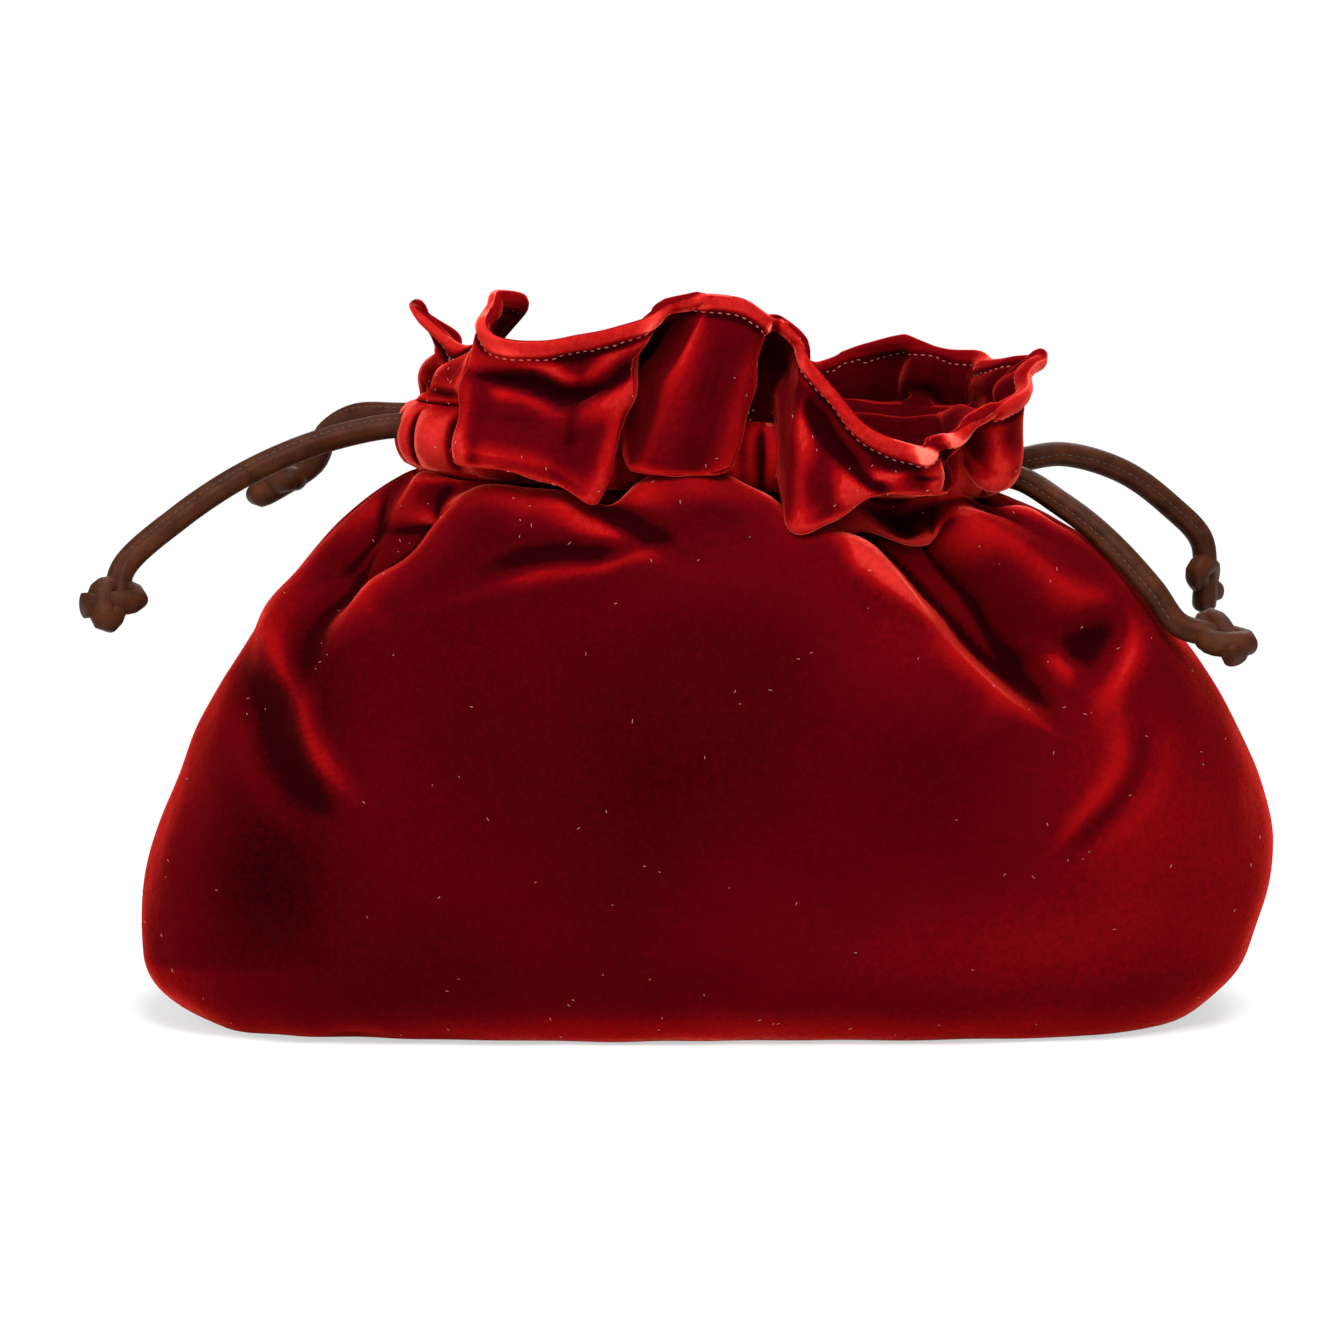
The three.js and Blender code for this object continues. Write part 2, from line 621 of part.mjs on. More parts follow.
function liningTop(panel, t, height, depth) {
  const out = outwardOnNeck(t, panel.side);
  const most = casingHalf(0) + 0.6 * puckerHeight + liningGap + depth;
  return neckPoint(t, panel.side).addScaledVector(out, -most).add(new THREE.Vector3(0, 0, height));
}

function liningSurface(depth) {
  const levels = [
    (panel, t) => liningPoint(panel, t, 0, depth).multiply(new THREE.Vector3(0.86, 0, 1)),
    ...liningRows.map((w) => (panel, t) => liningPoint(panel, t, w, depth)),
    (panel, t) => liningTop(panel, t, -casingBand / 2, depth),
    (panel, t) => liningTop(panel, t, 0, depth),
  ];
  const steps = Array.from({ length: liningColumns }, (_, i) => i / liningColumns);
  return levels.map((level) => {
    const front = steps.map((t) => level(panels.front, t));
    const back = steps.map((t) => level(panels.back, 1 - t));
    for (const edge of [front[0], back[0]]) edge.y = 0;
    return [...front, ...back, front[0]];
  });
}

function liningMesh() {
  const mesh = new THREE.Mesh(liningGeometry(liningSurface(0), liningSurface(liningThickness)), satin);
  mesh.name = 'lining';
  return mesh;
}

// The closed pouch: both faces all round, joined at the top edge and closed along the base.
function liningGeometry(outer, inner) {
  const [rows, wide] = [outer.length, outer[0].length];
  const points = [...outer.flat(), ...inner.flat()];
  const index = [];
  const quad = (a, b, c, d) => index.push(a, b, c, a, c, d);
  const out = (i, j) => j * wide + i;
  const ins = (i, j) => rows * wide + out(i, j);
  for (let i = 0; i + 1 < wide; i += 1) {
    for (let j = 0; j + 1 < rows; j += 1) {
      quad(out(i, j), out(i + 1, j), out(i + 1, j + 1), out(i, j + 1));
      quad(ins(i, j), ins(i, j + 1), ins(i + 1, j + 1), ins(i + 1, j));
    }
    quad(out(i, rows - 1), out(i + 1, rows - 1), ins(i + 1, rows - 1), ins(i, rows - 1));
  }
  const geometry = new THREE.BufferGeometry().setFromPoints(points);
  geometry.setIndex(index);
  return geometryOf(solidOf(geometry));
}

const bag = new THREE.Group();
const rooms = Object.keys(sideEnds).map(cordRoom);
bag.add(panelMesh('front_panel', panels.front, rooms));
bag.add(panelMesh('back_panel', panels.back, rooms));
bag.add(liningMesh());
for (const side of Object.keys(sideEnds)) {
  const mesh = new THREE.Mesh(geometryOf(drawcord(side)), leather);
  mesh.name = `${side}_drawcord`;
  bag.add(mesh);
}

export default bag;
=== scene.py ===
import math
import bpy
import numpy as np
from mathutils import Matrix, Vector


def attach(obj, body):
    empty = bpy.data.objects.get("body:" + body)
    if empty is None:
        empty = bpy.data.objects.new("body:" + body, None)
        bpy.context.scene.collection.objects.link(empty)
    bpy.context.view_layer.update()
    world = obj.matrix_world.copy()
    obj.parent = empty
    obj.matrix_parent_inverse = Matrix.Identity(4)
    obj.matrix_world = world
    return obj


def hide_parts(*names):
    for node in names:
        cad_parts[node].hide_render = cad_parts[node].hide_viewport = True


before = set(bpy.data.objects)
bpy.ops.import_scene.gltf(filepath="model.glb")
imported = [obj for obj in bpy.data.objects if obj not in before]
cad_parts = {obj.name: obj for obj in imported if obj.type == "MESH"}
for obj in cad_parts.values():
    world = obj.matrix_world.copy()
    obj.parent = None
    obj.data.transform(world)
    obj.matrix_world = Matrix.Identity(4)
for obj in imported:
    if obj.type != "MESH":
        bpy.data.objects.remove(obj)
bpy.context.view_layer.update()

scene = bpy.context.scene
MM = 0.001

# Driving dimensions of the sewn bag, in millimetres, as in the part apart from the deeper puckers
BAG_W, BAG_D = 292.0, 118.0
BASE_W, BASE_D = 236.0, 90.0
BELLY_L, BELLY_R = 18.0, 47.0
NECK_H, NECK_TILT, NECK_W, NECK_D = 146.5, 6.0, 146.0, 56.0
BAND, FRILL = 18.0, 40.0
CLOTH, PINCH, WALL, PUCKER = 2.4, 1.6, 1.6, 3.2
GAP, FOLD, ROLL = 0.3, 15.0, 5.0
CORD, CLEAR, SPACING = 6.0, 0.6, 6.7
# Powers of its outline above and at the base, spread of the columns, and share of the rows below the belly
SQUARE, BASE_SQUARE, SPREAD, BELLY_AT = 2.6, 4.0, 0.15, 0.3

# Body: powers of its shoulder curves, and the shares of its height where forms start and end
SHOULDER_W, SHOULDER_D = (1.65, 0.75), (2.6, 0.62)
SQUARE_BELOW = 0.7
ROLL_FROM, ROLL_TOP, ROLL_TO = 0.6, 0.82, 0.92
FOLDS_START, FOLDS_END = (0.05, 0.3), (0.8, 0.98)
SHALLOW_SHARE, SHALLOW_SPAN = 0.6, (0.6, 0.9)
PILLOWS_END = (0.96, 1.0)
SEAM_FADE = 0.1
# Laps: width at both ends, height from which one starts at the casing, run-in, and share left at the end
LAP_TAPER, LAP_AT_CASING, LAP_RUN_IN, LAP_END = (1.15, 0.65), 0.95, 0.3, 0.7
# Creases: run-in at both ends, then the banks beside them as shares of depth and width
CREASE_RUN_IN, BANK_HEIGHT, BANK_OFF, BANK_WIDTH = 0.15, 0.4, 2.6, 1.6
# How far, in millimetres, neighbouring points of a line are blended
LAP_BLEND, CREASE_BLEND = 7.0, 4.0
# Gathers: how much wider they get downwards, and where they fade
GATHER_WIDENS, GATHER_FADE = 0.6, (0.2, 1)
# Puckers of the casing: how many, their uneven spacing, the back's shift, roundness and fade at the sides
PUCKERS, PUCKER_SWAY, PUCKER_TURNS, BACK_SHIFT = 13, 0.7, 7, 0.4
PUCKER_POWER, PUCKER_FADE = 0.6, 0.045
# Frill, in millimetres: reach of the lip at which it starts to fold over and does so fully, height of the
# first turn, gap behind the lip, height of the lip's turn, room in front of it, and the waist
OVER_FROM, OVER_FULL = 2.0, 9.0
FIRST_TURN, BEHIND_LIP, LIP_TURN, BEFORE_LIP = 2.6, 4.6, 4.5, 0.9
WAIST_SHARE, WAIST_OUT = 0.3, 6.0
# Height of the points near the casing where the frill stands up, as a share of the rim's, with its limits
LOW_SHARE, LOWEST, LOW_MOST = 0.6, 0.8, 8.0


def clamp01(x):
    return np.clip(x, 0.0, 1.0)


def mix(a, b, k):
    return a + (b - a) * k


def smooth(a, b, x):
    k = clamp01((x - a) / (b - a))
    return k * k * (3 - 2 * k)


def bell(x, width):
    """A smooth bump of height 1 around 0."""
    return np.exp(-((x / width) ** 2))


def bell_on(x, width, y, height):
    """A smooth bump of height 1 on a plane."""
    return np.exp(-((x / width) ** 2) - (y / height) ** 2)


def vec(x, y, z):
    return np.stack(np.broadcast_arrays(x, y, z), axis=-1).astype(float)


def unit(a):
    return a / np.maximum(np.linalg.norm(a, axis=-1, keepdims=True), 1e-9)


def table_at(rows, t):
    rows = np.array(rows, float)
    st, val = rows[:, 0], rows[:, 1:]
    n = len(st)
    lo, hi = np.maximum(np.arange(n) - 1, 0), np.minimum(np.arange(n) + 1, n - 1)
    slope = (val[hi] - val[lo]) / (st[hi] - st[lo])[:, None]
    i = np.clip(np.searchsorted(st, t, side="left"), 1, n - 1)
    span = (st[i] - st[i - 1])[..., None]
    k = clamp01((t - st[i - 1]) / (st[i] - st[i - 1]))[..., None]
    a, b, m0, m1 = val[i - 1], val[i], slope[i - 1] * span, slope[i] * span
    k2, k3 = k * k, k**3
    out = (2 * k3 - 3 * k2 + 1) * a + (k3 - 2 * k2 + k) * m0 + (3 * k2 - 2 * k3) * b + (k3 - k2) * m1
    return [out[..., c] for c in range(out.shape[-1])]


def outline(t, square=SQUARE):
    even = np.pi * t
    ang = even + SPREAD * np.sin(2 * even)
    c, s = -np.cos(ang), np.sin(ang)
    r = (np.abs(c) ** square + np.abs(s) ** square) ** (-1 / square)
    return c * r, np.maximum(0, s * r)


def outward_on_neck(t, side):
    e = 1e-4
    a, b = outline(np.maximum(0, t - e)), outline(np.minimum(1, t + e))
    ax, ay = (b[0] - a[0]) * NECK_W, (b[1] - a[1]) * NECK_D * side
    out = vec(-ay * side, ax * side, 0 * t)
    out = unit(out)
    out[t <= 0] = (-1, 0, 0)
    out[t >= 1] = (1, 0, 0)
    return out


def neck_point(t, side):
    ac, aw = outline(t)
    x = ac * NECK_W / 2
    return vec(x, side * (GAP / 2 + aw * NECK_D / 2), NECK_H - NECK_TILT * x / NECK_W)


# Folds: a line in the front view as shares of the half width and the neck's height, the side that stands
# high, its rise and the drop beside it as shares of the fold depth, the ridge's reach on its high and low
# side, the valley's offset and width, and the share of the line over which it runs out.
FRONT_LAPS = [
    (
        [(-0.345, 0.985), (-0.434, 0.906), (-0.49, 0.842), (-0.605, 0.746), (-0.633, 0.686)],
        1, 0.3, 1.15, (22, 6), (12, 9), 0.25,
    ),
    (
        [
            (0.03, 0.98), (0.125, 0.905), (0.2, 0.868), (0.279, 0.829),
            (0.335, 0.775), (0.392, 0.715), (0.5, 0.615), (0.603, 0.529),
        ],
        -1, 0.36, 1.3, (30, 5), (13, 9), 0.15,
    ),
    (
        [(-0.745, 0.79), (-0.751, 0.7), (-0.698, 0.582), (-0.656, 0.497), (-0.566, 0.407)],
        1, 0.18, 0.2, (9, 5), (11, 8), 0.3,
    ),
    ([(0.688, 0.6), (0.692, 0.482), (0.65, 0.42), (0.594, 0.35)], -1, 0.06, 0.06, (7, 4), (6, 4.5), 0.3),
    ([(-0.33, 0.79), (-0.286, 0.803), (-0.2, 0.815), (-0.1, 0.838)], -1, 0.1, 0.1, (5, 3), (5, 4), 0.3),
    (
        [(0.38, 0.93), (0.516, 0.86), (0.633, 0.765), (0.731, 0.7), (0.7, 0.62)],
        1, 0.25, 0.5, (14, 6), (12, 8), 0.3,
    ),
    ([(-0.33, 0.93), (-0.245, 0.91), (-0.17, 0.875)], -1, 0.12, 0.45, (9, 4), (7, 6), 0.3),
    ([(0.22, 0.9), (0.291, 0.81), (0.37, 0.77), (0.46, 0.745)], 1, 0.35, 0.0, (6, 6), (9, 9), 0.3),
]
BACK_LAPS = [
    ([(-0.12, 1.0), (-0.26, 0.88), (-0.44, 0.72), (-0.55, 0.58)], 1, 0.3, 0.85, (30, 9), (15, 11), 0.3),
    ([(0.3, 1.0), (0.42, 0.86), (0.52, 0.74), (0.62, 0.6)], -1, 0.3, 0.85, (28, 9), (15, 11), 0.3),
]
# Valleys down from the casing: place along the neck, drift, depth, width and reach.
FRONT_GATHERS = [
    (0.1, -0.02, 0.4, 0.025, 0.35),
    (0.17, -0.02, 0.3, 0.02, 0.2),
    (0.385, 0.0, 0.55, 0.03, 0.13),
    (0.72, 0.03, 0.4, 0.025, 0.25),
    (0.8, 0.05, 0.5, 0.025, 0.35),
    (0.9, 0.02, 0.4, 0.025, 0.3),
]
BACK_GATHERS = [
    (0.1, -0.02, 0.5, 0.035, 0.4),
    (0.22, -0.05, 0.6, 0.035, 0.5),
    (0.5, 0.0, 0.6, 0.035, 0.45),
    (0.58, 0.03, 0.5, 0.03, 0.3),
    (0.8, 0.05, 0.6, 0.035, 0.5),
    (0.91, 0.02, 0.5, 0.03, 0.35),
]
# Pillows and pits of the body's top beside the casing: place along the neck and up the body, half widths
# as shares of both, and height in millimetres.
FRONT_PILLOWS = [
    (0.485, 0.9, 0.06, 0.07, 7.0),
    (0.385, 0.92, 0.022, 0.08, -7.0),
    (0.3, 0.93, 0.05, 0.07, -4.0),
    (0.13, 0.92, 0.04, 0.06, 4.0),
    (0.6, 0.94, 0.03, 0.05, -4.0),
    (0.685, 0.9, 0.02, 0.08, 3.5),
    (0.74, 0.92, 0.025, 0.08, -4.0),
    (0.8, 0.92, 0.03, 0.07, 4.0),
    (0.86, 0.93, 0.02, 0.06, -4.0),
]
BACK_PILLOWS = [
    (0.2, 0.92, 0.05, 0.07, 4.0),
    (0.34, 0.92, 0.03, 0.07, -4.0),
    (0.5, 0.9, 0.06, 0.07, 5.0),
    (0.66, 0.92, 0.03, 0.07, -4.0),
    (0.8, 0.92, 0.05, 0.07, 4.0),
]
# Tucks at the base's left corner, in the same terms.
FRONT_TUCKS = [(0.03, 0.12, 0.02, 0.05, 2.2), (0.066, 0.09, 0.014, 0.06, -3.0)]
# Frill stations: place along the neck, then as shares of the frill: the casing's belt, the lip along, out
# and up, the waist's tuck, and the rim along, out and up.
LEFT_TIP = (0, 0.0, 0.2, 0.0, 0.12, 0.0, -0.06, 0.0, 0.6)
RIGHT_TIP = (1, 0.0, 0.0, 0.04, -0.05, 0.0, 0.36, 0.0, 0.4)
FRONT_FRILL = [
    LEFT_TIP,
    (0.06, 0.0, 0.1, -0.02, 0.15, 0.05, 0.3, -0.02, 0.36),
    (0.125, 0.02, 0.1, 0.03, -0.05, 0.04, 0.58, 0.0, 0.68),
    (0.165, 0.04, 0.05, 0.05, -0.1, 0.06, 0.3, 0.05, 0.74),
    (0.186, 0.02, 0.0, 0.06, -0.1, 0.06, 0.18, 0.1, 0.68),
    (0.204, 0.05, -0.03, 0.42, -0.3, 0.06, 0.07, 0.15, 0.6),
    (0.235, 0.05, -0.06, 0.45, -0.33, 0.14, 0.01, 0.25, 0.48),
    (0.27, 0.05, -0.08, 0.45, -0.35, 0.2, 0.04, 0.32, 0.46),
    (0.31, 0.05, -0.06, 0.44, -0.4, 0.16, 0.08, 0.38, 0.5),
    (0.358, 0.04, -0.02, 0.42, -0.52, 0.04, 0.3, 0.42, 0.64),
    (0.374, 0.0, -0.12, 0.06, -0.14, 0.14, 0.36, 0.36, 0.7),
    (0.402, 0.0, -0.12, 0.04, -0.12, 0.14, 0.38, 0.32, 0.75),
    (0.42, 0.04, -0.13, 0.28, -0.3, 0.0, 0.38, 0.28, 0.78),
    (0.48, 0.06, -0.04, 0.34, -0.32, -0.02, 0.33, 0.22, 0.76),
    (0.54, 0.04, 0.0, 0.3, -0.3, 0.0, 0.24, 0.18, 0.67),
    (0.558, 0.02, 0.02, 0.05, -0.08, 0.12, 0.2, 0.19, 0.62),
    (0.594, 0.02, 0.04, 0.05, -0.08, 0.12, 0.14, 0.26, 0.52),
    (0.61, 0.02, 0.0, 0.42, -0.58, 0.0, 0.12, 0.3, 0.46),
    (0.65, 0.04, 0.06, 0.5, -0.56, 0.06, 0.065, 0.39, 0.28),
    (0.7, 0.04, 0.03, 0.54, -0.42, 0.04, 0.02, 0.5, 0.02),
    (0.75, 0.04, 0.02, 0.5, -0.38, 0.0, 0.02, 0.6, -0.09),
    (0.79, 0.03, 0.0, 0.42, -0.36, 0.0, -0.03, 0.57, 0.0),
    (0.812, 0.0, -0.04, 0.08, -0.1, -0.1, -0.02, 0.54, 0.07),
    (0.834, 0.0, -0.08, 0.1, -0.1, -0.08, -0.02, 0.49, 0.15),
    (0.852, 0.02, -0.1, 0.36, -0.34, 0.0, -0.01, 0.43, 0.21),
    (0.885, 0.02, -0.05, 0.3, -0.3, 0.0, 0.02, 0.32, 0.28),
    (0.92, 0.0, -0.02, 0.1, -0.08, 0.0, 0.08, 0.2, 0.34),
    RIGHT_TIP,
]
BACK_FRILL = [
    LEFT_TIP,
    (0.08, 0.0, 0.05, 0.02, 0.1, 0.05, 0.3, 0.12, 0.4),
    (0.18, 0.05, 0.0, 0.4, -0.25, 0.1, 0.05, 0.45, 0.3),
    (0.28, 0.05, 0.0, 0.42, -0.3, 0.12, -0.05, 0.5, 0.2),
    (0.36, 0.0, 0.0, 0.03, 0.0, 0.0, 0.02, 0.2, 0.28),
    (0.46, 0.1, 0.0, 0.4, -0.25, 0.12, 0.0, 0.45, 0.22),
    (0.55, 0.1, 0.0, 0.36, -0.2, 0.1, 0.05, 0.4, 0.26),
    (0.63, 0.0, 0.0, 0.02, 0.05, 0.0, 0.0, 0.15, 0.24),
    (0.69, 0.05, 0.0, 0.36, -0.25, 0.1, 0.03, 0.4, 0.32),
    (0.765, 0.03, 0.0, 0.2, -0.1, 0.05, 0.02, 0.12, 0.5),
    (0.795, 0.0, 0.0, 0.05, 0.0, 0.05, 0.06, 0.2, 0.42),
    (0.835, 0.05, 0.0, 0.3, -0.15, 0.05, 0.05, 0.36, 0.4),
    (0.89, 0.0, 0.0, 0.05, 0.05, 0.0, 0.02, 0.1, 0.36),
    RIGHT_TIP,
]
# Creases pressed into the frill: a line in the front view in millimetres, its depth and its width.
FRONT_CREASES = [
    ([(-56, 167), (-44, 165), (-33, 162), (-25, 165), (-20.5, 168)], 3.0, 2.0),
    ([(23, 163), (29, 154), (34.5, 147), (40, 142)], 1.6, 2.2),
    ([(57, 150), (60.5, 143), (58.5, 137)], 2.0, 1.8),
]
PANELS = {
    "front": dict(
        side=-1,
        laps=FRONT_LAPS,
        gathers=FRONT_GATHERS,
        pillows=FRONT_PILLOWS,
        tucks=FRONT_TUCKS,
        frill=FRONT_FRILL,
        creases=FRONT_CREASES,
    ),
    "back": dict(
        side=1,
        laps=BACK_LAPS,
        gathers=BACK_GATHERS,
        pillows=BACK_PILLOWS,
        tucks=[],
        frill=BACK_FRILL,
        creases=[],
    ),
}


def catmull(points, f):
    """Centripetal curve through arrays of points, at f from 0 to 1 along its stretches."""
    n = len(points)
    pts = [2 * points[0] - points[1], *points, 2 * points[-1] - points[-2]]
    s = np.asarray(f, float) * (n - 1)
    i = np.clip(np.floor(s).astype(int), 0, n - 2)
    k = (s - i)[..., None]
    stack = np.stack(np.broadcast_arrays(*pts))
    shape = np.broadcast_shapes(stack.shape[1:], i.shape + (3,))
    stack = stack.reshape((len(pts),) + (1,) * (len(shape) + 1 - stack.ndim) + stack.shape[1:])
    stack = np.broadcast_to(stack, (len(pts),) + shape)
    idx = np.broadcast_to(i[..., None], shape)
    p0, p1, p2, p3 = (np.take_along_axis(stack, (idx + j)[None], axis=0)[0] for j in range(4))
    chords = [np.linalg.norm(b - a, axis=-1, keepdims=True) for a, b in ((p0, p1), (p1, p2), (p2, p3))]
    d0, d1, d2 = (np.maximum(chord, 1e-6) ** 0.5 for chord in chords)
    m1 = ((p1 - p0) / d0 - (p2 - p0) / (d0 + d1) + (p2 - p1) / d1) * d1
    m2 = ((p2 - p1) / d1 - (p3 - p1) / (d1 + d2) + (p3 - p2) / d2) * d1
    return p1 + m1 * k + (-3 * p1 + 3 * p2 - 2 * m1 - m2) * k**2 + (2 * p1 - 2 * p2 + m1 + m2) * k**3


def smooth_line(line, steps=24):
    """A curve through points of the front view, as many points close together."""
    curve = catmull([np.array((x, 0.0, z)) for x, z in line], np.linspace(0, 1, steps + 1))
    return [(q[0], q[2]) for q in curve]


def off_line(line, x, z, blend):
    """Signed distance from a curved line and share of the way along it, blended over its near points."""
    pts = np.array(line)
    tan = np.gradient(pts, axis=0)
    tan /= np.linalg.norm(tan, axis=1, keepdims=True)
    ex, ez = x[..., None] - pts[:, 0], z[..., None] - pts[:, 1]
    near = ex**2 + ez**2
    weight = np.exp(-(near - near.min(axis=-1, keepdims=True)) / (2 * blend * blend))
    weight /= weight.sum(axis=-1, keepdims=True)
    far = (weight * (tan[:, 0] * ez - tan[:, 1] * ex)).sum(axis=-1)
    return far, (weight * np.linspace(0, 1, len(pts))).sum(axis=-1)


def lap_lift(lap, x, z):
    shares, side, rise, drop, reach, valley, run_out = lap
    line = smooth_line([(a * BAG_W / 2, b * NECK_H) for a, b in shares])
    far, along = off_line(line, x, z, LAP_BLEND)
    high = far * side
    taper = mix(*LAP_TAPER, along)
    start = 1.0 if shares[0][1] > LAP_AT_CASING else smooth(0, LAP_RUN_IN, along)
    fade = start * smooth(0, run_out, 1 - along) * mix(1, LAP_END, along)
    ridge = bell(high, np.where(high > 0, *reach) * taper)
    dent = bell(high + valley[0] * taper, valley[1] * taper)
    return FOLD * fade * (rise * ridge - drop * dent)


def crease_lift(crease, x, z):
    line, depth, width = crease
    far, along = off_line(smooth_line(line), x, z, CREASE_BLEND)
    fade = smooth(0, CREASE_RUN_IN, along) * smooth(0, CREASE_RUN_IN, 1 - along)
    banks = bell(np.abs(far) - BANK_OFF * width, BANK_WIDTH * width)
    return -depth * fade * (bell(far, width) - BANK_HEIGHT * banks)


def gather_lift(gather, t, w):
    at, drift, depth, width, reach = gather
    down = clamp01((1 - w) / reach)
    across = bell(t - at - drift * down, width * (1 + GATHER_WIDENS * down))
    return -FOLD * depth * across * (1 - smooth(*GATHER_FADE, down))


def from_sides(t):
    return np.minimum(t, 1 - t)


def plain_body(side, t, w):
    """The body without folds, at t along the neck and w up from the base's edge to the casing."""
    ac, aw = outline(t, mix(BASE_SQUARE, SQUARE, smooth(0, SQUARE_BELOW, w)))
    belly = mix(BELLY_L, BELLY_R, (ac + 1) / 2)
    top = NECK_H - NECK_TILT * ac / 2 - BAND / 2
    turn = clamp01(w / BELLY_AT) * np.pi / 2
    k = np.sin(clamp01((w - BELLY_AT) / (1 - BELLY_AT)) * np.pi / 2)
    low = w < BELLY_AT

    def half(base, most, neck, shoulder):
        above = np.maximum(0, 1 - k ** shoulder[0]) ** shoulder[1]
        below = mix(base / 2, most / 2, np.sin(turn))
        return np.where(low, below, mix(neck / 2 + PINCH, most / 2, above))

    hw = half(BASE_W, BAG_W, NECK_W, SHOULDER_W)
    hd = half(BASE_D, BAG_D, NECK_D, SHOULDER_D)
    roll = ROLL * aw * smooth(ROLL_FROM, ROLL_TOP, w) * (1 - smooth(ROLL_TOP, ROLL_TO, w))
    z = np.where(low, belly * (1 - np.cos(turn)), mix(belly, top, k) + roll)
    return vec(ac * hw, side * (GAP / 2 + aw * hd), z)


def body_normal(side, t, w):
    step = 0.01
    along = plain_body(side, np.minimum(1, t + step), w) - plain_body(side, np.maximum(0, t - step), w)
    up = plain_body(side, t, np.minimum(1, w + step)) - plain_body(side, t, np.maximum(0, w - step))
    n = np.cross(along, up) * -side
    n[..., 1] = np.where((t <= 0) | (t >= 1), 0, n[..., 1])
    return unit(n)


def body_point(p, t, w):
    side = p["side"]
    plain = plain_body(side, t, w)
    lift = sum(lap_lift(lap, plain[..., 0], plain[..., 2]) for lap in p["laps"])
    lift = lift + sum(gather_lift(g, t, w) for g in p["gathers"])
    settle = smooth(*FOLDS_START, w) * (1 - smooth(*FOLDS_END, w))
    deepest = -FOLD * mix(1, SHALLOW_SHARE, smooth(*SHALLOW_SPAN, w))
    lift = np.maximum(deepest, lift) * settle * smooth(0, SEAM_FADE, from_sides(t))
    for at, high, wide, tall, height in p["pillows"]:
        lift = lift + height * bell_on(t - at, wide, w - high, tall) * (1 - smooth(*PILLOWS_END, w))
    return plain + body_normal(side, t, w) * lift[..., None]


def casing_half(h):
    most = CORD / 2 + CLEAR + WALL
    share = h / (BAND / 2)
    return PINCH + (most - PINCH) * np.sqrt(np.maximum(0, 1 - share**4))


def pucker(p, t):
    shift = BACK_SHIFT if p["side"] > 0 else 0
    wave = np.sin(np.pi * (PUCKERS * t + PUCKER_SWAY * np.sin(PUCKER_TURNS * t) + shift))
    return PUCKER * (np.abs(wave) ** PUCKER_POWER) * smooth(0, PUCKER_FADE, from_sides(t))


def casing_point(p, t, c):
    h = mix(-BAND / 2, BAND / 2, c)
    belt = table_at(p["frill"], t)[0] * FRILL
    out = casing_half(h) + (pucker(p, t) + belt) * np.sin(np.pi * c)
    return neck_point(t, p["side"]) + outward_on_neck(t, p["side"]) * out[..., None] + vec(0 * h, 0 * h, h)


def frill_point(p, t, f):
    station = (a * FRILL for a in table_at(p["frill"], t))
    _, lip_along, lip_out, lip_up, tuck, rim_along, rim_out, rim_up = station
    out = outward_on_neck(t, p["side"])
    start = casing_point(p, t, np.ones_like(t))

    def at(along, away, up):
        q = start + out * np.asarray(away)[..., None] + vec(along, 0 * t, up)
        q[..., 1] = np.where((t <= 0) | (t >= 1), start[..., 1], q[..., 1])
        return q

    # Where it bulges, the cloth folds down over the casing, turns at the lip and comes up before itself
    over = smooth(OVER_FROM, OVER_FULL, lip_out)
    waist = (lip_out + rim_out) / 2 - tuck
    waist = np.maximum(waist, mix(waist, WAIST_SHARE * lip_out + WAIST_OUT, over))
    low = np.clip(LOW_SHARE * rim_up, LOWEST, LOW_MOST)
    turn_up = lip_up + LIP_TURN
    hidden_out = mix(0.6 * lip_out, lip_out - BEHIND_LIP, over)
    pts = [
        start,
        at(0.15 * lip_along, 0.3 * lip_out, mix(0.15 * low, FIRST_TURN, over)),
        at(0.8 * lip_along, hidden_out, mix(0.35 * low, turn_up, over)),
        at(lip_along, lip_out, mix(0.62 * low, lip_up, over)),
        at(mix(lip_along, rim_along, 0.12), lip_out + BEFORE_LIP * over, mix(low, turn_up, over)),
        at(mix(lip_along, rim_along, 0.5), waist, mix(mix(low, lip_up, over), rim_up, 0.55)),
        at(rim_along, rim_out, rim_up),
    ]
    q = catmull(pts, f)
    q[..., 1] = p["side"] * np.maximum(GAP / 2, q[..., 1] * p["side"])
    return q


def grid_normal(g):
    du = np.gradient(g, axis=1)
    dv = np.gradient(g, axis=0)
    return unit(np.cross(du, dv))


def waves(points, seed, length, count=20):
    """Smooth random field over points, about -1 to 1, with that wavelength in millimetres."""
    rng = np.random.default_rng(seed)
    out = np.zeros(points.shape[:-1])
    for _ in range(count):
        k = rng.normal(size=3)
        k *= 2 * np.pi / (length * rng.uniform(0.7, 1.5)) / np.linalg.norm(k)
        out += np.sin(points @ k + rng.uniform(0, 2 * np.pi))
    return out / math.sqrt(count / 2)


def mesh_object(name, verts, faces, material, smooth_shade=True):
    """An object from points in millimetres."""
    me = bpy.data.meshes.new(name)
    me.from_pydata((np.asarray(verts) * MM).tolist(), [], faces)
    me.update()
    if smooth_shade:
        me.polygons.foreach_set("use_smooth", [True] * len(me.polygons))
    ob = bpy.data.objects.new(name, me)
    scene.collection.objects.link(ob)
    me.materials.append(material)
    return ob


def grid_faces(rows, cols, flip):
    i, j = np.meshgrid(np.arange(cols - 1), np.arange(rows - 1))
    a = j * cols + i
    q = np.stack([a, a + 1, a + 1 + cols, a + cols], axis=-1).reshape(-1, 4)
    return q[:, ::-1] if flip else q


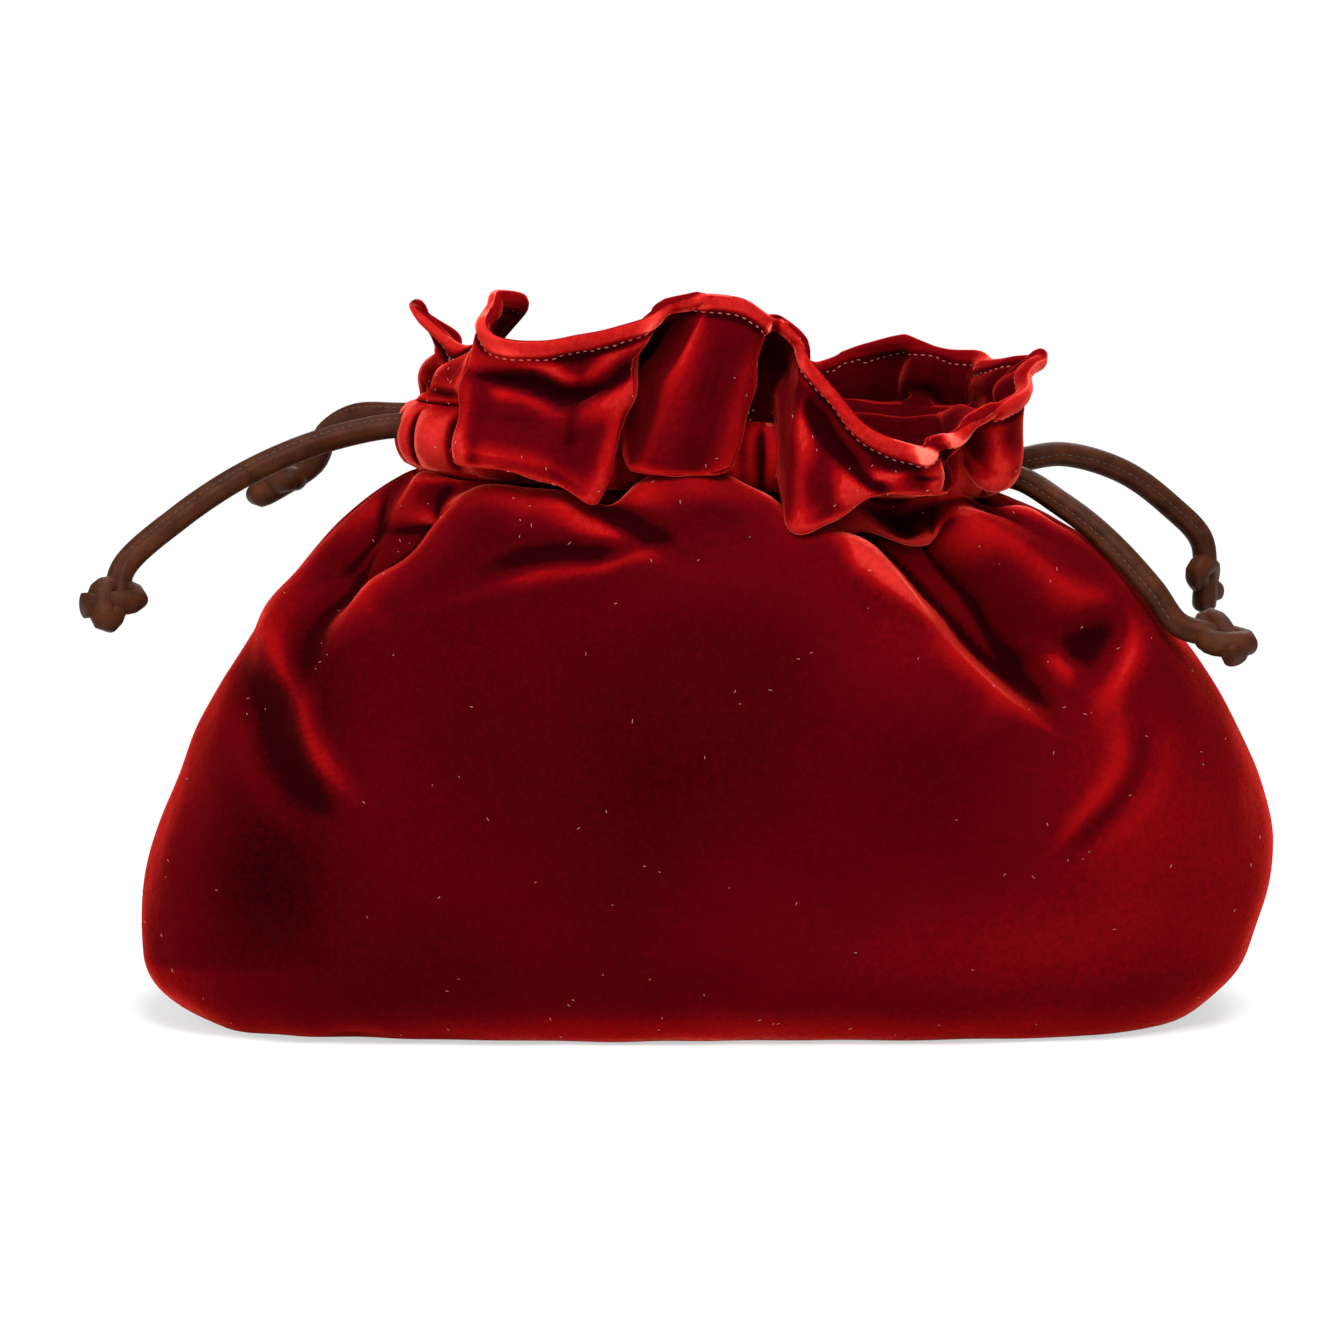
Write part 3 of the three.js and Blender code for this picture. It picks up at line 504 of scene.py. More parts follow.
# Materials
# Velvet colours, from painted shade in valleys through its own red to painted highlight on ridges and
# turned edges
VELVET_STOPS = [
    (0.12, (0.012, 0.0002, 0.0008)),
    (0.36, (0.066, 0.0005, 0.0018)),
    (0.62, (0.2, 0.002, 0.0025)),
    (0.85, (0.42, 0.02, 0.015)),
    (1.0, (0.72, 0.11, 0.08)),
]
LINING_STOPS = [(0.0, (0.03, 0.002, 0.003)), (1.0, (0.09, 0.006, 0.007))]
LEATHER_STOPS = [(0.3, (0.021, 0.005, 0.0015)), (0.75, (0.053, 0.0138, 0.0044))]
VELVET_SHEEN, LINING_SHEEN = (1.0, 0.06, 0.04), (0.6, 0.1, 0.1)
# Noise scales of the velvet, from wide to fine, and of the leather
CLOUDS, BRUSHED, FIBRES, PILE = 9.0, 160.0, 700.0, 2600.0
LEATHER_CLOUDS, LEATHER_GRAIN = 180.0, 1300.0
# How much the pile roughens the brushed cloth, how much the painted highlights and shade of the ridge
# attribute lighten it, and how much clouds and fibres lighten it
PILE_SHARE, PAINTED_LIGHT_SHARE, CLOUD_SHARE, FIBRE_SHARE = 0.5, 0.5, 0.3, 0.2
WHITE = (1, 1, 1, 1)


def node(nt, kind, values=None):
    """A new shader node with some of its inputs set."""
    made = nt.nodes.new("ShaderNode" + kind)
    for key, value in (values or {}).items():
        made.inputs[key].default_value = value
    return made


def empty_tree(holder):
    holder.use_nodes = True
    holder.node_tree.nodes.clear()
    return holder.node_tree


def new_material(name, values):
    """A material of one principled shader with some of its inputs set."""
    m = bpy.data.materials.new(name)
    nt = empty_tree(m)
    out = node(nt, "OutputMaterial")
    shader = node(nt, "BsdfPrincipled", values)
    nt.links.new(shader.outputs[0], out.inputs[0])
    return m, nt, shader


def noise(nt, tc, scale, detail, rough=0.6):
    made = node(nt, "TexNoise", {"Scale": scale, "Detail": detail, "Roughness": rough})
    nt.links.new(tc.outputs["Object"], made.inputs["Vector"])
    return made.outputs["Fac"]


def multiply_add(nt, a, factor, b):
    m = node(nt, "Math")
    m.operation = "MULTIPLY_ADD"
    m.inputs[1].default_value = factor
    nt.links.new(a, m.inputs[0])
    nt.links.new(b, m.inputs[2])
    return m.outputs[0]


def bump_of(nt, height, strength, distance):
    bump = node(nt, "Bump", {"Strength": strength, "Distance": distance})
    nt.links.new(height, bump.inputs["Height"])
    return bump.outputs[0]


def ramp_of(nt, value, stops):
    ramp = node(nt, "ValToRGB")
    e = ramp.color_ramp.elements
    e[0].position, e[0].color = stops[0][0], (*stops[0][1], 1)
    e[1].position, e[1].color = stops[-1][0], (*stops[-1][1], 1)
    for place, colour in stops[1:-1]:
        e.new(place).color = (*colour, 1)
    nt.links.new(value, ramp.inputs["Fac"])
    return ramp.outputs["Color"]


def velvet_material(name, stops, sheen_tint, sheen):
    """Pile that is dark looked at straight on, with a painted sheen in its colour where the cloth turns
    away and the painted highlights and shade of the ridge attribute.
    """
    dull = {"Roughness": 1.0, "Specular IOR Level": 0.0}
    shine = {"Sheen Weight": sheen, "Sheen Roughness": 0.35, "Sheen Tint": (*sheen_tint, 1)}
    m, nt, b = new_material(name, {**dull, **shine})
    tc = node(nt, "TexCoord")
    brushed = noise(nt, tc, BRUSHED, detail=4.0)
    pile = multiply_add(nt, noise(nt, tc, PILE, detail=2.0), PILE_SHARE, brushed)
    bump = bump_of(nt, pile, strength=0.35, distance=0.001)
    nt.links.new(bump, b.inputs["Normal"])
    # Painted sheen: the base colour is made lighter where the cloth turns away from the view
    facing = node(nt, "LayerWeight", {"Blend": 0.5})
    nt.links.new(bump, facing.inputs["Normal"])
    painted_sheen = node(nt, "MapRange", {"From Min": 0.55, "From Max": 1.0, "To Max": 0.5})
    nt.links.new(facing.outputs["Facing"], painted_sheen.inputs["Value"])
    # Painted highlights on ridges and painted shade in valleys, hem and patches, from the mesh's ridge
    # attribute
    painted_light = node(nt, "Attribute")
    painted_light.attribute_name = "ridge"
    lean = multiply_add(nt, painted_light.outputs["Fac"], PAINTED_LIGHT_SHARE, painted_sheen.outputs[0])
    lean = multiply_add(nt, noise(nt, tc, CLOUDS, detail=2.0), CLOUD_SHARE, lean)
    lean = multiply_add(nt, noise(nt, tc, FIBRES, detail=3.0, rough=0.75), FIBRE_SHARE, lean)
    nt.links.new(ramp_of(nt, lean, stops), b.inputs["Base Color"])
    return m


def leather_material():
    m, nt, b = new_material("cord leather", {"Roughness": 0.55, "Specular IOR Level": 0.06})
    tc = node(nt, "TexCoord")
    clouds = noise(nt, tc, LEATHER_CLOUDS, detail=5.0, rough=0.5)
    nt.links.new(ramp_of(nt, clouds, LEATHER_STOPS), b.inputs["Base Color"])
    grain = node(nt, "TexVoronoi", {"Scale": LEATHER_GRAIN})
    nt.links.new(tc.outputs["Object"], grain.inputs["Vector"])
    bump = bump_of(nt, grain.outputs["Distance"], strength=0.25, distance=0.0004)
    nt.links.new(bump, b.inputs["Normal"])
    return m


def plain_material(name, color, rough):
    return new_material(name, {"Base Color": (*color, 1), "Roughness": rough})[0]


velvet = velvet_material("red velvet", VELVET_STOPS, VELVET_SHEEN, sheen=0.3)
lining_cloth = velvet_material("lining satin", LINING_STOPS, LINING_SHEEN, sheen=0.1)
leather = leather_material()
thread = plain_material("hem thread", (0.3, 0.055, 0.042), rough=0.8)
cord_thread = plain_material("cord thread", (0.03, 0.012, 0.007), rough=0.7)
lint_fibre = plain_material("lint", (0.32, 0.12, 0.1), rough=0.9)

# Small threads and fibres: a bead with places and girths along it, as shares of its length and radius
BEAD_SIDES = 6
BEAD = [(0.0, 0.25), (0.25, 0.85), (0.75, 0.85), (1.0, 0.25)]


def beads(name, places, ways, ups, lengths, radius, material, slot):
    """One mesh of many beads, each centred on a place, along its way, with its up side out of the cloth."""
    across = unit(np.cross(ways, ups))
    ups = np.cross(across, ways)
    lengths = np.broadcast_to(lengths, len(places))
    angles = np.linspace(0, 2 * np.pi, BEAD_SIDES, endpoint=False)
    verts, faces = [], []
    for k in range(len(places)):
        first = len(verts)
        for share, girth in BEAD:
            mid = places[k] + ways[k] * (share - 0.5) * lengths[k]
            for a in angles:
                verts.append(mid + radius * girth * (math.cos(a) * across[k] + math.sin(a) * ups[k]))
        for r in range(len(BEAD) - 1):
            low, high = first + BEAD_SIDES * r, first + BEAD_SIDES * (r + 1)
            for i in range(BEAD_SIDES):
                j = (i + 1) % BEAD_SIDES
                faces.append([low + i, low + j, high + j, high + i])
        end = first + BEAD_SIDES * (len(BEAD) - 1)
        faces.append([first + i for i in reversed(range(BEAD_SIDES))])
        faces.append([end + i for i in range(BEAD_SIDES)])
    ob = mesh_object(name, verts, faces, material)
    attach(ob, "root")
    return ob


def run_along(line):
    """Distance of each point from the first, along the line."""
    return np.concatenate([[0], np.cumsum(np.linalg.norm(np.diff(line, axis=0), axis=1))])


def at_runs(s, run, values):
    return np.stack([np.interp(s, run, values[:, c]) for c in range(3)], axis=1)


def evenly(line, normals, pitch):
    """Places, ways and normals a set pitch apart along a line of points."""
    run = run_along(line)
    s = np.arange(pitch, run[-1] - pitch, pitch)
    at = at_runs(s, run, line)
    return at, unit(np.gradient(at, axis=0)), unit(at_runs(s, run, normals))


# Patches of pile made lighter or darker, partly its brushed tone and partly painted light and shade, such
# as the painted highlight along the base's edge: place in the front view, half width and height in
# millimetres, and amount
NAP_AND_PAINTED_LIGHT = {
    "front": [
        (13, 122, 55, 13, 0.2),
        (48, 102, 24, 18, 0.25),
        (112, 58, 30, 32, 0.3),
        (75, 24, 55, 14, 0.22),
        (0, 3, 140, 6, 0.4),
        (-132, 45, 9, 40, 0.15),
        (-75, 62, 30, 24, 0.1),
        (-5, 66, 48, 24, -0.05),
        (-104, 84, 12, 24, -0.25),
        (-108, 42, 16, 20, -0.15),
    ],
    "back": [(30, 110, 60, 16, 0.2), (-90, 50, 40, 30, 0.2), (0, 3, 140, 6, 0.4), (20, 60, 50, 25, -0.1)],
}

# Rows of a panel from the base seam to the rim, and columns from side seam to side seam
COLS = 260
BASE_ROWS, LOW_ROWS, HIGH_ROWS, CASING_ROWS = 5, 26, 92, 12
ALONG = np.linspace(0, 1, COLS)
BODY_W = np.concatenate(
    [
        np.linspace(0, BELLY_AT, LOW_ROWS, endpoint=False),
        np.linspace(BELLY_AT, 1, HIGH_ROWS, endpoint=False),
    ]
)
CASING_C = np.linspace(0, 1, CASING_ROWS)
# Shares along the frill's profile, closer together at the hem and closest at the rim
FRILL_F = np.concatenate(
    [
        np.linspace(0, 0.83, 47, endpoint=False),
        np.linspace(0.83, 0.94, 8, endpoint=False),
        np.linspace(0.94, 1, 19),
    ]
)[1:]
FIRST_CASING = BASE_ROWS + len(BODY_W)
FIRST_FRILL = FIRST_CASING + CASING_ROWS
ROWS = FIRST_FRILL + len(FRILL_F)
ON_CASING, ON_FRILL = slice(FIRST_CASING, FIRST_FRILL), slice(FIRST_FRILL, ROWS)

# Base seam's width as a share of the base
BASE_SEAM = 0.86
# Cloth pressed thin, in millimetres, and where: up the body, and along the frill from its start to its lip
PRESSED, THINNEST, FRILL_START = 0.6, 0.5, 3.0
PRESSED_BODY, PRESSED_FRILL, FULL_FRILL = (0.7, 0.88), (0, 0.12), (0.54, 0.7)
BEND_ROOM, THIN_PASSES = 0.35, 3
# Rows and columns over which a bend is measured, near and wide, and its shortest span in millimetres
NEAR, WIDE, SHORTEST_SPAN = 2, 4, 1.5
INNER_PUCKER = 1.6
CREASED_FRILL = (0.52, 0.62)
# Painted light of the pile, highlights on ridges and shade in valleys: gain by bend, the bend that shows
# none, limits, and the painted light that the casing and frill add
BEND_GAIN, BEND_FROM, DARKEST, LIGHTEST, UPPER_LIGHT = 9.0, 0.012, -0.6, 0.8, 0.12
# Unevenness: seed, wavelength and height in millimetres of each field
UNEVEN = [(3, 55, 0.7), (4, 22, 0.25)]
CRUMPLES = (5, 17, 0.5)
# Rows and share of the width over which it comes in, then depth, width and rows of the sunk side seams
UNEVEN_ROWS, UNEVEN_FADE = 8, 0.06
SEAM_SINK, SEAM_WIDTH, SEAM_ROWS = 1.1, 1.5, 10
# Hem, in millimetres: width, puff, edges of the puff, groove under the stitches and rounding of the rim
HEM_WIDTH, HEM_PUFF = 4.8, 0.8
PUFF_FROM, PUFF_FULL = HEM_WIDTH + 0.5, HEM_WIDTH - 1.4
GROOVE_DEPTH, GROOVE_WIDTH, RIM_ROUND = 0.5, 0.7, 2.2
# Painted highlight of the hem on both faces, painted shade of the inner face, the highlight's edges, and
# the painted shade below the hem
HEM_LIGHT, INNER_HEM_LIGHT, INNER_SHADE = 0.75, 0.45, 0.1
LIGHT_FROM, LIGHT_FULL = HEM_WIDTH - 0.2, HEM_WIDTH - 1.2
HEM_SHADE, SHADE_OFF, SHADE_WIDTH = 0.5, 0.8, 0.9
# Stitches and lint, in millimetres; seed and number of the lint's fibres
STITCH_PITCH, STITCH_LENGTH, STITCH_RADIUS, STITCH_LIFT, STITCH_ENDS = 2.1, 1.1, 0.24, 0.05, 6
LINT = {"front": (11, 260), "back": (12, 90)}
LINT_LENGTH, LINT_RADIUS, LINT_LIFT = (0.4, 1.1), 0.1, 0.1
LINT_ROWS, LINT_COLS = (BASE_ROWS + 6, FIRST_CASING + 60), (12, COLS - 12)


def steps_from(grid, axis, reverse=False):
    """Distance along the grid from its first (or last) row or column."""
    seg = np.linalg.norm(np.diff(grid, axis=axis), axis=-1)
    zero = np.zeros_like(np.take(seg, [0], axis=axis))
    if reverse:
        return np.flip(np.concatenate([zero, np.cumsum(np.flip(seg, axis), axis=axis)], axis=axis), axis)
    return np.concatenate([zero, np.cumsum(seg, axis=axis)], axis=axis)


def ridge_of(grid, normal, reach, axes=(0, 1)):
    """How sharply the surface bends at each point, per millimetre: above 0 on ridges, below in valleys."""
    out = np.zeros(grid.shape[:2])
    for axis in axes:
        idx = np.arange(grid.shape[axis])
        lo, hi = np.maximum(idx - reach, 0), np.minimum(idx + reach, len(idx) - 1)
        a, b = np.take(grid, lo, axis=axis), np.take(grid, hi, axis=axis)
        span = np.maximum(np.linalg.norm(b - a, axis=-1) / 2, SHORTEST_SPAN)
        out += ((grid - (a + b) / 2) * normal).sum(axis=-1) / span**2
    return out


def outer_face(p):
    """A panel's outer face, row by row."""

    def rows_of(fn, values):
        t, w = np.meshgrid(ALONG, values)
        return fn(p, t, w)

    body = rows_of(body_point, BODY_W)
    edge = body[0]
    seam = edge * np.array((BASE_SEAM, 0, 0)) + np.array((0, p["side"] * GAP / 2, 0))
    base = np.stack([mix(seam, edge, k) for k in np.linspace(0, 1, BASE_ROWS, endpoint=False)])
    return np.concatenate([base, body, rows_of(casing_point, CASING_C), rows_of(frill_point, FRILL_F)])


def outer_normals(p, outer):
    """Normals of the outer face, which lie in the side seams' plane there."""
    n = grid_normal(outer) * -p["side"]
    n[:, 0, 1] = n[:, -1, 1] = 0
    return unit(n)


def inner_face(p, outer, n):
    """The cloth is pressed thin where it gathers at the casing and inside its tightest bends."""
    body_thick = mix(CLOTH, PRESSED, smooth(*PRESSED_BODY, BODY_W))
    frill_thick = mix(FRILL_START, PRESSED, smooth(*PRESSED_FRILL, FRILL_F))
    frill_thick = mix(frill_thick, CLOTH, smooth(*FULL_FRILL, FRILL_F))
    full = np.full(BASE_ROWS, CLOTH), body_thick, np.full(CASING_ROWS, CLOTH), frill_thick
    bend = ridge_of(outer, n, NEAR, (0,))
    thick = np.minimum(np.concatenate(full)[:, None], BEND_ROOM / np.maximum(1e-3, bend))
    for _ in range(THIN_PASSES):
        mid = thick[1:-1, 1:-1]
        beside = thick[:-2, 1:-1], thick[2:, 1:-1], thick[1:-1, :-2], thick[1:-1, 2:]
        thick[1:-1, 1:-1] = sum(beside, mid) / 5
    inner = outer - n * np.maximum(THINNEST, thick)[..., None]
    t, c = np.meshgrid(ALONG, CASING_C)
    belt = table_at(p["frill"], t)[0] * FRILL
    bulge = (INNER_PUCKER * pucker(p, t) + belt) * np.sin(np.pi * c)
    wall = 2 * casing_half(mix(-BAND / 2, BAND / 2, c)) + bulge
    inner[ON_CASING] = outer[ON_CASING] - outward_on_neck(t, p["side"]) * wall[..., None]
    return inner


def press_creases(p, outer, inner, n):
    """Presses the creases into both faces of the frill, and turns its normals."""
    x, z = outer[ON_FRILL, :, 0], outer[ON_FRILL, :, 2]
    pressed = sum((crease_lift(crease, x, z) for crease in p["creases"]), np.zeros(1))
    pressed = pressed * smooth(*CREASED_FRILL, FRILL_F)[:, None]
    move = n[ON_FRILL] * pressed[..., None]
    outer[ON_FRILL] += move
    inner[ON_FRILL] += move
    n[ON_FRILL] = (grid_normal(outer) * -p["side"])[ON_FRILL]


def painted_pile_light(name, outer, n):
    """Painted light of the pile: painted highlights on ridges and painted shade in valleys by its bend,
    painted light on the casing and frill above the body, and patches that are partly brushed tone and
    partly painted light and shade.
    """
    bend = 0.5 * ridge_of(outer, n, WIDE) + 0.5 * ridge_of(outer, n, NEAR)
    light = BEND_GAIN * np.sign(bend) * np.maximum(0, np.abs(bend) - BEND_FROM)
    light = np.clip(light, DARKEST, LIGHTEST)
    # Painted light: the casing and frill are made lighter than the body
    light[FIRST_CASING:] += UPPER_LIGHT
    on_body = (np.arange(ROWS) < FIRST_CASING)[:, None]
    for x, z, wide, tall, amount in NAP_AND_PAINTED_LIGHT[name]:
        light += amount * bell_on(outer[..., 0] - x, wide, outer[..., 2] - z, tall) * on_body
    return light


def unevenness(p, outer):
    """Soft unevenness of the filled cloth, crumples in the frill, tucks at the base and sunk side seams."""
    uneven = sum(waves(outer, seed, length) * height for seed, length, height in UNEVEN)
    seed, length, height = CRUMPLES
    uneven[ON_FRILL] += waves(outer[ON_FRILL], seed, length) * height
    t, w = np.meshgrid(ALONG, np.concatenate([np.zeros(BASE_ROWS), BODY_W[:LOW_ROWS]]))
    for at, high, wide, tall, height in p["tucks"]:
        uneven[: BASE_ROWS + LOW_ROWS] += height * bell_on(t - at, wide, w - high, tall)
    start = BASE_ROWS + UNEVEN_ROWS
    keep = np.ones(ROWS)
    keep[:start] = np.linspace(0, 1, start) ** 2
    lift = uneven * keep[:, None] * smooth(0, UNEVEN_FADE, from_sides(ALONG))[None, :]
    from_seam = np.minimum(steps_from(outer, 1), steps_from(outer, 1, True))
    above_base = smooth(0, SEAM_ROWS, np.arange(ROWS) - BASE_ROWS)[:, None]
    return lift - SEAM_SINK * bell(from_seam, SEAM_WIDTH) * above_base


def hem_puff(from_rim):
    """The hem: turned-over cloth, puffed above its row of stitches and rounded at the rim."""
    puff = HEM_PUFF * smooth(PUFF_FROM, PUFF_FULL, from_rim)
    puff = puff - GROOVE_DEPTH * bell(from_rim - HEM_WIDTH, GROOVE_WIDTH)
    half = CLOTH / 2 + HEM_PUFF
    turn = half * (1 - np.sqrt(np.maximum(0, 1 - clamp01(1 - from_rim / RIM_ROUND) ** 2)))
    return puff, turn


def panel_mesh(name, outer, inner, light, inner_light):
    """A closed mesh of both faces. Inside, every second row below the casing is left out."""
    flip = PANELS[name]["side"] > 0
    inner_rows = np.concatenate([np.arange(0, FIRST_CASING, 2), np.arange(FIRST_CASING, ROWS)])
    total = ROWS + len(inner_rows)
    verts = np.concatenate([outer, inner[inner_rows][::-1]]).reshape(-1, 3)
    faces = grid_faces(total, COLS, flip)
    last = COLS - 1
    edges = []
    for k in range(len(inner_rows) - 1):
        a, b = (total - 1 - k) * COLS, (total - 2 - k) * COLS
        run = np.arange(inner_rows[k], inner_rows[k + 1] + 1) * COLS
        edges.append([*run.tolist(), b, a])
        edges.append([*(run[::-1] + last).tolist(), a + last, b + last])
    end = (total - 1) * COLS
    for i in range(last):
        edges.append([i + 1, i, end + i, end + i + 1])
    if flip:
        edges = [q[::-1] for q in edges]
    ob = mesh_object(f"{name}_velvet", verts, faces.tolist() + edges, velvet)
    # The ridge attribute holds painted light and shade for the velvet's colour
    layer = ob.data.attributes.new("ridge", "FLOAT", "POINT")
    layer.data.foreach_set("value", np.concatenate([light, inner_light[inner_rows][::-1]]).reshape(-1))
    return ob


def hem_stitches(name, outer, inner, n, from_rim):
    """Stitches along the hem, on both faces of the frill."""
    columns = np.arange(STITCH_ENDS, COLS - STITCH_ENDS)
    row = FIRST_FRILL + np.argmin(np.abs(from_rim[ON_FRILL] - HEM_WIDTH), axis=0)
    size = STITCH_LENGTH, STITCH_RADIUS
    for face, grid, out in (("outer", outer, n), ("inner", inner, -n)):
        line, up = grid[row[columns], columns], out[row[columns], columns]
        places, ways, ups = evenly(line, up, STITCH_PITCH)
        beads(f"{name}_{face}_stitches", places + STITCH_LIFT * ups, ways, ups, *size, thread, "velvet")


def lint(name, outer, n):
    """Specks of lint on the pile."""
    seed, count = LINT[name]
    rng = np.random.default_rng(seed)
    r = rng.integers(*LINT_ROWS, count)
    k = rng.integers(*LINT_COLS, count)
    ups = n[r, k]
    ways = unit(np.cross(ups, rng.normal(size=(count, 3))))
    lengths = rng.uniform(*LINT_LENGTH, count)
    places = outer[r, k] + LINT_LIFT * ups
    beads(f"{name}_lint", places, ways, ups, lengths, LINT_RADIUS, lint_fibre, "velvet")


def build_panel(name):
    p = PANELS[name]
    outer = outer_face(p)
    n = outer_normals(p, outer)
    inner = inner_face(p, outer, n)
    press_creases(p, outer, inner, n)
    light = painted_pile_light(name, outer, n)
    lift = unevenness(p, outer)
    from_rim = np.full(outer.shape[:2], np.inf)
    from_rim[ON_FRILL] = steps_from(outer[ON_FRILL], 0, True)
    puff, turn = hem_puff(from_rim)
    outer = outer + n * (lift + puff - turn)[..., None]
    inner = inner - n * (puff - turn)[..., None]
    follow = n * lift[..., None]
    inner[ON_FRILL] += follow[ON_FRILL]
    inner[:FIRST_CASING] += follow[:FIRST_CASING]
    # Painted highlight along the hem band and painted shade in the groove under its stitches; the inner
    # face gets painted shade and its own painted hem highlight
    hem = smooth(LIGHT_FROM, LIGHT_FULL, from_rim)
    light += HEM_LIGHT * hem - HEM_SHADE * bell(from_rim - HEM_WIDTH - SHADE_OFF, SHADE_WIDTH)
    ob = panel_mesh(name, outer, inner, light, INNER_HEM_LIGHT * hem - INNER_SHADE)
    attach(ob, "root")
    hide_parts(f"{name}_panel")
    hem_stitches(name, outer, inner, n, from_rim)
    lint(name, outer, n)
    return ob


front = build_panel("front")
back = build_panel("back")

# Drawcords: each end's route from the casing to its knot, the knot's turn and the angle of the sewn seam
FREE = {
    "left_front": [
        (-80, -10, 152.3), (-91, -13, 150.5), (-103.5, -20, 147),
        (-118, -28, 140.5), (-132, -35, 131.3), (-145, -41, 119.7),
    ],
    "left_back": [(-80, 10, 153.6), (-91, 14, 153), (-99, 19, 148), (-103, 23, 140)],
    "right_front": [
        (80, -10, 139), (90.7, -16, 132.8), (98, -20, 127.5),
        (105.2, -24, 120.8), (113, -27, 112), (119.5, -29, 103.5),
    ],
    "right_back": [(80, 10, 141.5), (93.5, 14, 143), (110, 19, 138), (123.5, 23, 128.2), (132, 26, 119)],
}
KNOT_TURN = {"left_front": 0.4, "left_back": 1.2, "right_front": 2.2, "right_back": -0.6}
SEAM_AT = {"left": math.pi + 0.5, "right": 0.4}
# Places along the neck of the stretch inside the casing
INSIDE = (0.2, 0.13)
CORD_STEP, CORD_SIDES, CORD_SWELL, CURVE_POINTS = 1.6, 28, 0.2, 60
# A direction that no cord end starts along, to set the seam's angle from
SEAM_FROM = (0, 0.3, 1.0)
# The seam's groove and the banks beside it, in millimetres and radians, and the depth of its thread
SEAM_GROOVE, SEAM_ANGLE, SEAM_BANK, BANK_AT, BANK_ANGLE = 0.4, 0.2, 0.12, 0.5, 0.25
THREAD_DEPTH, THREAD_PITCH, THREAD_LENGTH, THREAD_RADIUS = 0.35, 2.0, 1.3, 0.22
# A knot drawn by powers: size in millimetres, ends, points, which are kept, reach on each axis and stretch
KNOT_W, KNOT_L = 13.0, 17.0
KNOT_FROM, KNOT_TO, KNOT_POINTS, KNOT_STRIDE = -2.05, 2.0, 60, 4
KNOT_REACH, KNOT_STRETCH = (4, 4.2, 25.3), 1.25


def spaced(points, step):
    """Points a set distance apart along a smooth curve."""
    dense = catmull([np.array(q, float) for q in points], np.linspace(0, 1, CURVE_POINTS * len(points)))
    run = run_along(dense)
    return at_runs(np.linspace(0, run[-1], max(3, int(run[-1] / step))), run, dense)


def knot_points(end, direction, turn):
    d = direction / np.linalg.norm(direction)
    a = np.cross((0, 0, 1), d)
    a /= np.linalg.norm(a)
    b = np.cross(d, a)
    e1 = a * math.cos(turn) + b * math.sin(turn)
    e2 = np.cross(d, e1)
    s = np.linspace(KNOT_FROM, KNOT_TO, KNOT_POINTS)
    x, y, z = s**3 - 3 * s, s**4 - 4 * s**2, s**5 - 10 * s
    sx, sy = (KNOT_W - CORD) / KNOT_REACH[0], (KNOT_W - CORD) / KNOT_REACH[1]
    sz = (KNOT_L - CORD) / KNOT_REACH[2] * KNOT_STRETCH
    p = (x - x[0])[:, None] * e1 * sx + (y - y[0])[:, None] * e2 * sy + (z - z[0])[:, None] * d * sz
    return end + p


def tube(points, radius, seam):
    """A round cord along points, with a shallow seam at one angle, and the seam's line and normals."""
    pts = np.asarray(points, float)
    tan = unit(np.gradient(pts, axis=0))
    nrm = np.cross(tan[0], SEAM_FROM)
    nrm /= np.linalg.norm(nrm)
    sides = CORD_SIDES
    ang = np.linspace(0, 2 * np.pi, sides, endpoint=False)
    off = np.angle(np.exp(1j * (ang - seam)))
    banks = SEAM_BANK * bell(np.abs(off) - BANK_AT, BANK_ANGLE)
    girth = radius - SEAM_GROOVE * bell(off, SEAM_ANGLE) + banks
    verts, line, out = [], [], []
    for c, q in zip(pts, tan):
        nrm = nrm - q * np.dot(nrm, q)
        nrm /= np.linalg.norm(nrm)
        m = np.cross(q, nrm)
        verts.append(c + girth[:, None] * (np.cos(ang)[:, None] * nrm + np.sin(ang)[:, None] * m))
        out.append(math.cos(seam) * nrm + math.sin(seam) * m)
        line.append(c + out[-1] * (radius - THREAD_DEPTH))
    faces = []
    for j in range(len(pts) - 1):
        for i in range(sides):
            k = (i + 1) % sides
            faces.append([j * sides + i, j * sides + k, (j + 1) * sides + k, (j + 1) * sides + i])
    faces.append(list(range(sides))[::-1])
    faces.append(list(range((len(pts) - 1) * sides, len(pts) * sides)))
    return np.concatenate(verts), faces, np.array(line), np.array(out)


def build_cord(name, free):
    hand, face = name.split("_")
    fside = -1 if face == "front" else 1
    level = np.array((0, 0, SPACING / 2 if hand == "left" else -SPACING / 2))
    inside = [neck_point(np.array(t if hand == "left" else 1 - t), fside) + level for t in INSIDE]
    pts = [*inside, *[np.array(q, float) for q in free]]
    knot = knot_points(pts[-1], pts[-1] - pts[-2], KNOT_TURN[name])
    route = spaced([*pts, *knot[KNOT_STRIDE::KNOT_STRIDE], knot[-1]], CORD_STEP)
    verts, faces, line, out = tube(route, CORD / 2 + CORD_SWELL, SEAM_AT[hand])
    ob = mesh_object(f"{name}_cord", verts, faces, leather)
    plain = len(spaced(pts, CORD_STEP))
    places, ways, ups = evenly(line[:plain], out[:plain], THREAD_PITCH)
    size = THREAD_LENGTH, THREAD_RADIUS
    beads(f"{name}_cord_stitches", places, ways, ups, *size, cord_thread, "cord")
    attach(ob, "root")
    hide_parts(f"{hand}_drawcord")


for name, free in FREE.items():
    build_cord(name, free)

